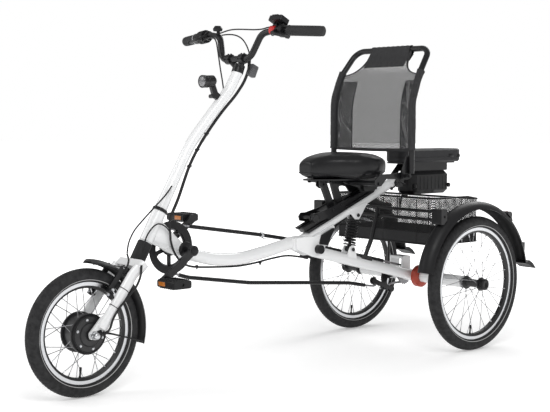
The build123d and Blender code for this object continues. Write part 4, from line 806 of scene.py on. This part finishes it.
back_net = net_look("backrest_net", (0.035, 0.035, 0.037), 0.0034, 0.27, rough=0.8)
dark_web = Look("dark_webbing")
weave = dark_web.math("SINE", dark_web.math("MULTIPLY", dark_web.parts()[2], WEAVE))
cross = dark_web.math("SINE", dark_web.math("MULTIPLY", dark_web.parts()[1], WEAVE))
dark_web.set(base_color=dark_web.drift(120.0, (0.012, 0.012, 0.013), (0.024, 0.024, 0.026)), roughness=0.75)
dark_web.bump(dark_web.math("MULTIPLY", weave, cross), 0.6, 0.0003)


def give(across):
    """How far the fabric bends back between its posts, by share of its width."""
    return -GIVE * math.sin(math.pi * across) ** 0.6


main_form = fabric_strip("backrest_net", lambda z: -half_width(z), half_width, give, 80, 60)
main_sheet = add("backrest_net", main_form, "backrest", "mesh", back_net)
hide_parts("backrest_fabric")
flaps = []
for side_name, sign in SIDES:
    post = [at(233, sign * POST_Y, z) for z in (745, 800, 860, 905)]
    post += [at(228.5, sign * POST_Y, 936), at(216.5, sign * POST_Y, 970), at(203, sign * POST_Y, 1004)]
    post.append(at(186.5, sign * POST_Y, SLEEVE_TOP))
    sleeve = bmesh.new()
    wobble = random.Random(3 + sign)
    swell = [SLEEVE_R + wobble.uniform(-0.0004, 0.0005) for _ in range(24)]

    def sleeve_size(share, swell=swell):
        lip = 0.001 if share < 0.02 or share > 0.98 else 0.0
        wide = swell[min(int(share * 23), 23)] + lip
        return wide, wide + 0.0006

    hose(sleeve, smooth_line(post, 70), sleeve_size, 20)
    piece(f"sleeve_{side_name}", sleeve, "backrest", "mesh", dark_web)
    flap_mesh = fabric_strip(
        f"back_flap_{side_name}", lambda z, s=sign: s * STRIP_Y, lambda z, s=sign: s * FLAP_END,
        lambda across: FLAP_BACK + 9 * across, 50, 10, 0.0, SLEEVE_SHARE, ripple=2.5)
    flaps.append(add(f"back_flap_{side_name}", flap_mesh, "backrest", "mesh", back_net))
    hem_line = back_curve()[:round(LINE_POINTS * SLEEVE_SHARE)]
    hem = bmesh.new()
    hose(hem, [at(p.x + FLAP_BACK, sign * STRIP_Y, p.z) for p in hem_line[::4]], 0.0022, 8)
    hose(hem, [at(p.x + 0.5, sign * (STRIP_Y + 58), p.z) for p in hem_line[::4]], 0.0024, 8)
    arc = [at(191 - (z - 1024) * 0.74, sign * half_width(z), z) for z in (1025, 1032, 1044, 1058, 1072, 1084)]
    arc = [at(193, sign * FLAP_END, 1020)] + arc + [at(131, sign * 101, 1112)]
    hose(hem, smooth_line(arc, 40), lambda share: (0.0042, 0.0022), 8)
    piece(f"back_binding_{side_name}", hem, "backrest", "mesh", dark_web)

lower_hem = bmesh.new()
lower_line = []
for number in range(HEM_STEPS + 1):
    across = number / HEM_STEPS
    side = -LOWER_HALF + 2 * LOWER_HALF * across
    lower_line.append(at(232 + give(across), side, 746 - 3 * math.sin(math.pi * across)))
hose(lower_hem, lower_line, lambda share: (0.0032, 0.0062), 10)
piece("back_lower_hem", lower_hem, "backrest", "mesh", dark_web)

TOP_BAR = (122, 1119)
BAND_HALF = 102
BAND_R = 13.5                  # the band's radius where it passes over the top bar
band_line = [(173, 1053), (158, 1074), (143, 1094)]
for bend in range(40, 191, 30):
    angle = math.radians(bend)
    band_line.append((TOP_BAR[0] + BAND_R * math.cos(angle), TOP_BAR[1] + BAND_R * math.sin(angle)))
band_line += [(111, 1106), (124, 1092), (140, 1075)]
band = bmesh.new()
band_rows = []
for point in smooth_line([Vector((x, 0, z)) for x, z in band_line], 60):
    narrow = BAND_HALF - (4 if point.z > 1100 else 0)
    band_rows.append([
        at(point.x, -narrow + 2 * narrow * n / 30, point.z + 0.8 * math.sin(n * 1.7)) for n in range(31)])
ring_skin(band, band_rows, closed=False)
band_piece = piece("back_top_band", band, "backrest", "mesh", dark_web)
for cloth_piece in [main_sheet, band_piece] + flaps:
    thicken(cloth_piece, CLOTH_THICKNESS)


# ---------- basket ----------

BASKET_LOW, BASKET_HIGH = (Vector(corner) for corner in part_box("basket"))
BASKET_CORNER = 0.02
BASKET_REAR_TOP = at(0, 0, 553).z
BASKET_DIP = at(-30, 0, 0).x
BASKET_BAND = 0.045
BASKET_ROWS = 14
NET_THICKNESS = 0.0012
WALL_INSET = 0.001             # the net's middle, from the outside of the basket
WIRE_R = 0.0018
RIB_GAP = 0.166


def rounded_rectangle(low, high, corner, steps, z=0.0):
    """Closed line round a rectangle seen from above, its corners rounded."""
    points = []
    for x, y, start in ((high.x, high.y, 0), (low.x, high.y, 90), (low.x, low.y, 180), (high.x, low.y, 270)):
        inset = math.copysign(corner, x - (low.x + high.x) / 2)
        middle = Vector((x - inset, y - math.copysign(corner, y), z))
        for step in range(steps + 1):
            angle = math.radians(start + 90 * step / steps)
            points.append(middle + Vector((math.cos(angle), math.sin(angle), 0)) * corner)
    return filled(points)


def filled(points, gap=0.012):
    """The same closed line with points put in where its runs are long."""
    full = []
    for start, end in zip(points, points[1:] + points[:1]):
        count = max(1, math.ceil((end - start).length / gap))
        full += [start.lerp(end, number / count) for number in range(count)]
    return full


def basket_top(x):
    """Height of the basket's upper edge, lower at the rear."""
    if x > BASKET_DIP:
        return BASKET_HIGH.z - WALL_INSET
    share = (BASKET_DIP - x) / (BASKET_DIP - BASKET_LOW.x)
    return BASKET_HIGH.z - WALL_INSET + (BASKET_REAR_TOP - BASKET_HIGH.z) * share


BASKET_INSET = Vector((WALL_INSET, WALL_INSET, 0))
outline = rounded_rectangle(BASKET_LOW + BASKET_INSET, BASKET_HIGH - BASKET_INSET, BASKET_CORNER, 10)
basket = bmesh.new()
basket_rows = []
for level in range(BASKET_ROWS + 1):
    share = level / BASKET_ROWS
    row = []
    for point in outline:
        top = basket_top(point.x)
        sag = 0.0015 * math.sin(math.pi * share) * math.sin(point.y * 60)
        row.append(Vector((point.x + sag, point.y, BASKET_LOW.z + (top - BASKET_LOW.z) * share)))
    basket_rows.append(row)
ring_skin(basket, basket_rows)
floor_row = [Vector((p.x, p.y, BASKET_LOW.z + WALL_INSET)) for p in outline]
basket.faces.new([basket.verts.new(point) for point in floor_row])
open_net = net_look(
    "basket_net_open", (0.03, 0.03, 0.031), 0.0088, 0.18, solid_below=BASKET_LOW.z + BASKET_BAND)
basket_piece = piece("basket_net", basket, "frame", "mesh", open_net, smooth=False)
thicken(basket_piece, NET_THICKNESS)
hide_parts("basket")
basket_edges = bmesh.new()
closed_hose(basket_edges, [Vector((p.x, p.y, BASKET_LOW.z + BASKET_BAND)) for p in outline], WIRE_R, 6)
closed_hose(basket_edges, [Vector((p.x, p.y, BASKET_LOW.z + 0.0025)) for p in outline], 0.003, 6)
for x in (BASKET_HIGH.x - WALL_INSET, BASKET_LOW.x + WALL_INSET):
    for y in (-RIB_GAP, 0, RIB_GAP):
        hose(basket_edges, [Vector((x, y, BASKET_LOW.z + 0.002)), Vector((x, y, basket_top(x)))], WIRE_R, 6)
piece("basket_edges", basket_edges, "frame", "black_metal")


# ---------- small pieces ----------

HEAD_TILT = math.radians(30)
axis_up = Vector((-math.sin(HEAD_TILT), 0, math.cos(HEAD_TILT)))
axis_foot = at(1539, 0, 0)


def on_axis(height):
    """Point of the steering axis at a height in millimetres."""
    return axis_foot + axis_up * (height / 1000 / axis_up.z)


BOOT_LOW, BOOT_HIGH = 404, 462
BOOT_R = 0.0222
BOOT_FOLDS = 7
boot_run = (on_axis(BOOT_HIGH) - on_axis(BOOT_LOW)).length
fold = ((0.12, 0.0242), (0.5, 0.0246), (0.88, 0.0242))
folds = [(boot_run * (n + share) / BOOT_FOLDS, radius) for n in range(BOOT_FOLDS) for share, radius in fold]
folds = [(0, BOOT_R)] + folds + [(boot_run, BOOT_R)]
turned_piece("head_boot", "steering", "rubber", on_axis(BOOT_LOW), axis_up, folds, 40)

turned_piece("headset_rings", "steering", "black_metal", on_axis(557.2), axis_up, [
    (0, 0.0225), (0, 0.0247), (0.0015, 0.0253), (0.0045, 0.0253), (0.006, 0.0243), (0.0068, 0.0253),
    (0.0092, 0.0253), (0.0105, 0.0244), (0.0112, 0.0225)], 48)

cup = bmesh.new()
bb_place = at(1140, 0, 433)
for sign in (-1, 1):
    turned(cup, bb_place + Vector((0, sign * 0.0345, 0)), Vector((0, sign, 0)), [
        (0, 0.0215), (0, 0.0255), (0.0015, 0.0262), (0.0075 if sign > 0 else 0.003, 0.0262),
        (0.009 if sign > 0 else 0.004, 0.025), (0.0095 if sign > 0 else 0.0045, 0.0095)], 40)
piece("bearing_cups", cup, "frame", "black_metal")

crank_caps = bmesh.new()
for sign in (-1, 1):
    side = Vector((0, sign, 0))
    turned(crank_caps, bb_place + side * 0.0838, side, [
        (0, 0.0125), (0.0016, 0.0125), (0.0026, 0.0115), (0.0026, 0)], 28)
piece("crank_caps", crank_caps, "cranks", "black_plastic")


def reflector_with_painted_glow(name, colour):
    """Moulded reflector with a fine prism pattern and a faint painted glow."""
    look = Look(name)
    prism = look.node("TexVoronoi", vector=look.place, scale=420.0)
    second = tuple(c * 0.55 for c in colour)
    look.set(base_color=look.blend(look.span(prism, 0, 1, 0, 0.6), colour, second), roughness=0.18)
    # Faint emission in the reflector's colour: painted glow, as the reflector gives no light of its own.
    look.set(emission_color=colour, emission_strength=0.12)
    return look.bump(prism, 0.6, 0.0004)


orange = reflector_with_painted_glow("orange_reflector", (0.62, 0.2, 0.03))
red = reflector_with_painted_glow("red_reflector", (0.42, 0.012, 0.012))
CRANK_LEAN = math.radians(-36.5)
CRANK_LENGTH = 0.15
PEDAL_RIBS = 7
RIB_PITCH = 0.011
for side_name, sign in SIDES:
    end = Vector((math.cos(CRANK_LEAN), 0, math.sin(CRANK_LEAN))) * (sign * CRANK_LENGTH) + bb_place
    plates = bmesh.new()
    housings = bmesh.new()
    for ahead in (-1, 1):
        spot = end + Vector((ahead * 0.0335, sign * 0.118, 0))
        rounded_box(plates, spot, (0.003, 0.034, 0.013), 0.0012)
        rounded_box(housings, spot - Vector((ahead * 0.0008, 0, 0)), (0.0034, 0.039, 0.0175), 0.0015)
    piece(f"pedal_reflectors_{side_name}", plates, f"pedal_{side_name}_body", "pedal", orange)
    for ahead in (-1, 1):
        for count in range(PEDAL_RIBS):
            for face in (1, -1):
                spot = end + Vector((ahead * 0.026, sign * (0.104 + RIB_PITCH * count), face * 0.0132))
                rounded_box(housings, spot, (0.012, 0.004, 0.002), 0.0008, cuts=1)
    piece(f"pedal_trim_{side_name}", housings, f"pedal_{side_name}_body", "pedal")

LENS_PLACE = at(1041.2, 0, 978)
LENS_AIM = Vector((1, 0, -0.02))
lens_profile = [(0, 0.0175), (0.001, 0.017), (0.0028, 0.012), (0.0034, 0)]
lens_look = Look("lamp_lens")
facets = lens_look.node("TexVoronoi", vector=lens_look.place, scale=260.0)
facet_shade = lens_look.span(facets, 0, 1, 0.1, 0.5)
lens_look.set(base_color=lens_look.blend(facet_shade, (0.5, 0.5, 0.52), (0.08, 0.08, 0.085)))
lens_look.set(roughness=0.08, coat_weight=0.8)
lens_look.bump(facets, 0.5, 0.0005)
turned_piece("headlight_lens", "steering", "lamp", LENS_PLACE, LENS_AIM, lens_profile, 40, lens_look)
lens_ring = bmesh.new()
turned(lens_ring, LENS_PLACE - Vector((0.003, 0, 0)), LENS_AIM, [
    (0, 0.0205), (0.003, 0.0215), (0.0042, 0.021), (0.0046, 0.0185), (0.003, 0.0172), (0.001, 0.017)], 40)
for groove in (0.012, 0.017, 0.022):
    turned(lens_ring, LENS_PLACE - Vector((groove, 0, 0)), Vector((1, 0, 0)), [
        (0, 0.0195), (0.0006, 0.0203), (0.0018, 0.0203), (0.0024, 0.0195)], 40)
piece("headlight_trim", lens_ring, "steering", "lamp")

FENDER_Y = 309
for side_name, sign in SIDES:
    lamp_glass = bmesh.new()
    turned(lamp_glass, at(-193, sign * FENDER_Y, 500), Vector((-1, 0, 0.3)), [
        (0, 0.0105), (0.004, 0.0105), (0.006, 0.009), (0.0068, 0.005), (0.007, 0)], 28)
    rounded_box(lamp_glass, at(-297.8, sign * FENDER_Y, 368), (0.0024, 0.018, 0.029), 0.001)
    piece(f"tail_glass_{side_name}", lamp_glass, "frame", "lamp", red)

TIES = [(979, 0, 857), (1025, 0, 805), (1066, 2, 753), (1103, 8, 700), (1130, 16, 652)]
ties = bmesh.new()
for before, spot, after in zip(TIES, TIES[1:], TIES[2:]):
    along = at(*after) - at(*before)
    turned(ties, at(*spot) - along.normalized() * 0.0022, along, [
        (0, 0.0048), (0, 0.0066), (0.0044, 0.0066), (0.0044, 0.0048)], 20)
    rounded_box(ties, at(*spot) + Vector((-0.004, 0.0055, 0.002)), (0.006, 0.005, 0.005), 0.001, cuts=1)
piece("column_cable_ties", ties, "steering", "rubber")

frame_ties = bmesh.new()
for x, y, z in ((1069, 6, 369.5), (791, 5, 361)):
    turned(frame_ties, at(x - 2.5, y, z), Vector((1, 0, 0)), [
        (0, 0.003), (0, 0.0055), (0.005, 0.0055), (0.005, 0.003)], 20)
    rounded_box(frame_ties, at(x, y, z - 7), (0.005, 0.004, 0.006), 0.0012, cuts=1)
piece("frame_cable_ties", frame_ties, "frame", "rubber")

CHAIN_Y = -50
hanger = bmesh.new()
hanger_run = at(608, CHAIN_Y, 426) - at(747, CHAIN_Y, 451)
turned(hanger, at(741, CHAIN_Y, 450), hanger_run, [
    (0, 0.0066), (0, 0.0096), (0.001, 0.0102), (0.009, 0.0102), (0.01, 0.0096), (0.01, 0.0066)], 24)
hose(hanger, [at(736, CHAIN_Y, 440), at(736, -36, 436), at(734, -18, 437)], 0.002, 8)
piece("chain_tube_hanger", hanger, "frame", "silver")

leg_ties = bmesh.new()
leg_top = at(1362, 58, 372)
leg_run = at(1478, 58, 216) - leg_top
for share in (0.28, 0.6):
    middle = leg_top + leg_run * share
    level, rise = frame_on(leg_run)
    loop = []
    for step in range(48):
        angle = math.tau * step / 48
        swing = level * math.cos(angle) * 0.0122 + rise * math.sin(angle) * 0.0187
        loop.append(middle + swing)
    closed_hose(leg_ties, loop, 0.0012, 6)
piece("leg_cable_ties", leg_ties, "steering", "rubber")


CABLE_R = 0.0024


def cable(name, points, body):
    """A cable held at both ends, as a smooth curve through its control points."""
    curve = bpy.data.curves.new(name, "CURVE")
    curve.dimensions = "3D"
    curve.bevel_depth = CABLE_R
    curve.bevel_resolution = 3
    curve.use_fill_caps = True
    line = curve.splines.new("NURBS")
    line.points.add(len(points) - 1)
    for spot, point in zip(line.points, points):
        spot.co = (*at(*point), 1)
    line.order_u = 3
    line.use_endpoint_u = True
    curve.materials.append(looks["rubber"].material)
    made = bpy.data.objects.new(name, curve)
    scene.collection.objects.link(made)
    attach(made, body)
    return made


cable("bar_cable_over", [
    (862, -172, 1141), (872, -140, 1146), (880, -100, 1149), (893, -50, 1154), (905, 0, 1155),
    (905, 50, 1152), (894, 90, 1149), (882, 118, 1150), (876, 140, 1156), (871, 160, 1157)], "steering")
cable("bar_cable_behind", [
    (852, -185, 1138), (852, -150, 1142), (852, -110, 1146), (852, -60, 1143), (852, -20, 1128),
    (854, 8, 1100), (857, 26, 1068), (857, 28, 1044), (856, 16, 1016), (862, 6, 990),
    (880, 2, 958)], "steering")
cable("lever_cable", [
    (892, -188, 1124), (900, -150, 1134), (907, -110, 1134), (914, -84, 1120), (915, -76, 1092),
    (914, -70, 1060), (914, -62, 1024), (920, -44, 985), (932, -22, 950), (944, -4, 917)], "steering")

cable("head_cable", [
    (1297, 24, 440), (1297, 30, 464), (1291, 32, 484), (1277, 32, 503), (1260, 32, 518), (1243, 31, 523),
    (1226, 30, 519), (1206, 28, 507), (1190, 25, 490)], "frame")

BAR_BEND = (871, 165, 1145)    # where the straight outer part of the handlebar begins
BAR_END = (835.5, 350, 1134)


def bar_place(sign, y):
    """Point on the outer part of the handlebar."""
    share = (y - BAR_BEND[1]) / (BAR_END[1] - BAR_BEND[1])
    ahead, up = (BAR_BEND[n] + (BAR_END[n] - BAR_BEND[n]) * share for n in (0, 2))
    return at(ahead, sign * y, up)


ring_foot = bar_place(1, 150)
red_plastic = dusty("red_plastic", (0.55, 0.02, 0.02), 0.4, tint=0.15, grain=1400.0)
turned_piece("control_ring", "steering", "red_metal", ring_foot, bar_place(1, 172) - ring_foot, [
    (0, 0.0112), (0, 0.0135), (0.0015, 0.0145), (0.0205, 0.0145), (0.022, 0.0135), (0.022, 0.0112)],
    32, red_plastic)

GRIP_PITCH = 0.0045
grip_ribs = bmesh.new()
for sign, first in ((1, 222), (-1, 274)):
    run = bar_place(sign, BAR_END[1]) - bar_place(sign, first)
    count = round(run.length / GRIP_PITCH)
    profile = [(0, 0.012), (0, 0.0176), (0.002, 0.0182), (0.004, 0.0168)]
    for number in range(1, count - 1):
        start = run.length * number / count
        for past, radius in ((0, 0.0163), (0.0012, 0.0171), (0.0028, 0.0171), (0.004, 0.0163)):
            profile.append((start + past, radius))
    for past, radius in ((-0.001, 0.0165), (0.0042, 0.0165), (0.0058, 0.0145), (0.0062, 0.0)):
        profile.append((run.length + past, radius))
    turned(grip_ribs, bar_place(sign, first), run, profile, 32)
grip_rubber = dusty("grip_rubber", (0.03, 0.03, 0.031), 0.62, tint=0.3, grain=1500.0, depth=0.0001)
grip_piece = piece("grip_ribs", grip_ribs, "steering", "rubber", grip_rubber)
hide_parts("grips")

ring_foot = bar_place(-1, 270.5)
turned_piece("shifter_ring", "steering", "silver", ring_foot, bar_place(-1, 275) - ring_foot, [
    (0, 0.0118), (0, 0.0188), (0.0036, 0.0188), (0.0036, 0.0118)], 36)
SHIFTER_RIBS = 9
SHIFTER_R = 0.0215
shifter_foot = bar_place(-1, 200)
run = bar_place(-1, 238) - shifter_foot
profile = [(0, SHIFTER_R)]
for number in range(SHIFTER_RIBS):
    start = run.length * number / SHIFTER_RIBS
    for past, radius in ((0.0006, 0.0221), (0.0012, 0.0228), (0.003, 0.0228), (0.0036, 0.0221)):
        profile.append((start + past, radius))
profile.append((run.length, SHIFTER_R))
turned_piece("shifter_grip", "steering", "rubber", shifter_foot, run, profile, 40)

box = bmesh.new()
box_lean = Matrix.Rotation(math.radians(-24), 3, "Y")
rounded_box(box, at(841, 20, 1018), (0.03, 0.022, 0.042), 0.005, box_lean)
rounded_box(box, at(846, 20, 1024), (0.014, 0.024, 0.014), 0.003, box_lean)
grey_box = dusty("grey_plastic", (0.1, 0.1, 0.105), 0.45, tint=0.2, grain=1200.0)
piece("cable_box", box, "steering", "black_plastic", grey_box)

display_face = bmesh.new()
display_up = Vector((-0.45, 0, 0.89))
display_turn = display_up.to_track_quat("Z", "Y").to_matrix()
display_top = bar_place(1, 182) + Vector((0.004, 0, 0.025)) + display_up * 0.0163
rounded_box(display_face, display_top, (0.03, 0.046, 0.0016), 0.0007, display_turn)
piece("display_face", display_face, "steering", "lamp")

CLAMP_X, CLAMP_Y, CLAMP_Z = 896, 34, 1056
CLAMP_R = 16.6
clamp_bolts = []
for sign in (-1, 1):
    for y in (sign * CLAMP_Y - 7, sign * CLAMP_Y + 7):
        clamp_bolts.append((at(CLAMP_X + CLAMP_R, y, CLAMP_Z), (1, 0, 0.1), 0.0029))
        clamp_bolts.append((at(CLAMP_X, y, CLAMP_Z + CLAMP_R), (0, 0, 1), 0.0029))
    clamp_bolts.append((bar_place(sign, 184) + Vector((0.0165, 0, 0.003)), (1, 0, 0.2), 0.0026))
bolts("bar_bolts", "steering", "black_metal", clamp_bolts)
brake_bolts = []
for sign in (-1, 1):
    brake_bolts.append((at(1448.5, sign * 55, 317.8), (0.8, 0, 0.6), 0.0042))
    brake_bolts.append((at(1430, sign * 49, 329.5), (0, sign, 0), 0.0042))
    brake_bolts.append((at(1384, sign * 44, 396), (0, sign, 0), 0.0032))
bolts("brake_bolts", "steering", "silver", brake_bolts)


def side_bolts(rows):
    """Bolt places on both sides, facing outward; a row is (ahead, aside, up, head radius)."""
    return [(at(x, sign * y, z), (0, sign, 0), radius) for sign in (-1, 1) for x, y, z, radius in rows]


bolts("frame_bolts", "frame", "black_metal", side_bolts([
    (324, 23, 502, 0.0052), (349, 23, 376, 0.0052), (193, 329, 508, 0.004), (95, 23.4, 622, 0.0042),
    (118, 23.4, 616, 0.0032)]))
bolts("seat_bolts", "seat", "black_metal", side_bolts([
    (420, 31, 546, 0.0042), (462, 31, 528, 0.0042), (380, 178, 626.7, 0.0052), (255, 210, 652, 0.0062),
    (491, 11.4, 620, 0.0042)]))

battery_low, battery_high = (Vector(corner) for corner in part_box("battery"))
battery_trim = bmesh.new()
seam_z = battery_low.z + 0.019
BATTERY_CORNER = 0.04


def battery_loop(z, grow):
    """Closed line round the battery at a height."""
    margin = Vector((grow, grow, 0))
    return rounded_rectangle(battery_low - margin, battery_high + margin, BATTERY_CORNER, 12, z)


closed_hose(battery_trim, battery_loop(seam_z, 0.0), 0.0012, 6)
closed_hose(battery_trim, battery_loop(battery_high.z - 0.0075, -0.0006), 0.0009, 6)
for x in (-196, 66):
    rounded_box(battery_trim, at(x, 0, 743.2), (0.002, 0.1, 0.0012), 0.0004, cuts=1)
turned(battery_trim, at(-206, 59.6, 715), Vector((0, 1, 0)), [
    (0, 0.007), (0.0018, 0.007), (0.0024, 0.006), (0.0024, 0)], 24)
rounded_box(battery_trim, at(-160, 60.3, 716), (0.03, 0.0022, 0.014), 0.001, cuts=1)
rounded_box(battery_trim, at(-236.2, 0, 716), (0.0022, 0.05, 0.018), 0.001, cuts=1)
piece("battery_trim", battery_trim, "frame", "black_plastic")

controller_trim = bmesh.new()
for x in range(-150, 27, 22):
    rounded_box(controller_trim, at(x, 0, 612), (0.004, 0.0924, 0.052), 0.0015, cuts=1)
for spot in (at(40, 45.3, 600), at(-160, 45.3, 600)):
    turned(controller_trim, spot, Vector((0, 1, 0)), [
        (0, 0.0085), (0.006, 0.0085), (0.007, 0.0075), (0.007, 0)], 20)
piece("controller_trim", controller_trim, "frame", "black_plastic")

hook = bmesh.new()
HOOK_Y = 110
hook_lever = [(238, 603), (222, 609), (205, 620), (193, 626), (181, 621), (168, 617)]
hook_rod = [(197, 622), (197, 590), (196, 560), (193, 529)]
hose(hook, smooth_line([at(x, HOOK_Y, z) for x, z in hook_lever], 30), 0.0028, 10)
turned(hook, at(243, HOOK_Y, 600), Vector((-1, 0, 0.5)), [
    (0, 0.002), (0.001, 0.0052), (0.004, 0.0066), (0.007, 0.0052), (0.008, 0.002)], 16)
hose(hook, smooth_line([at(x, HOOK_Y, z) for x, z in hook_rod], 20), 0.0016, 8)
piece("basket_catch", hook, "frame", "black_metal")
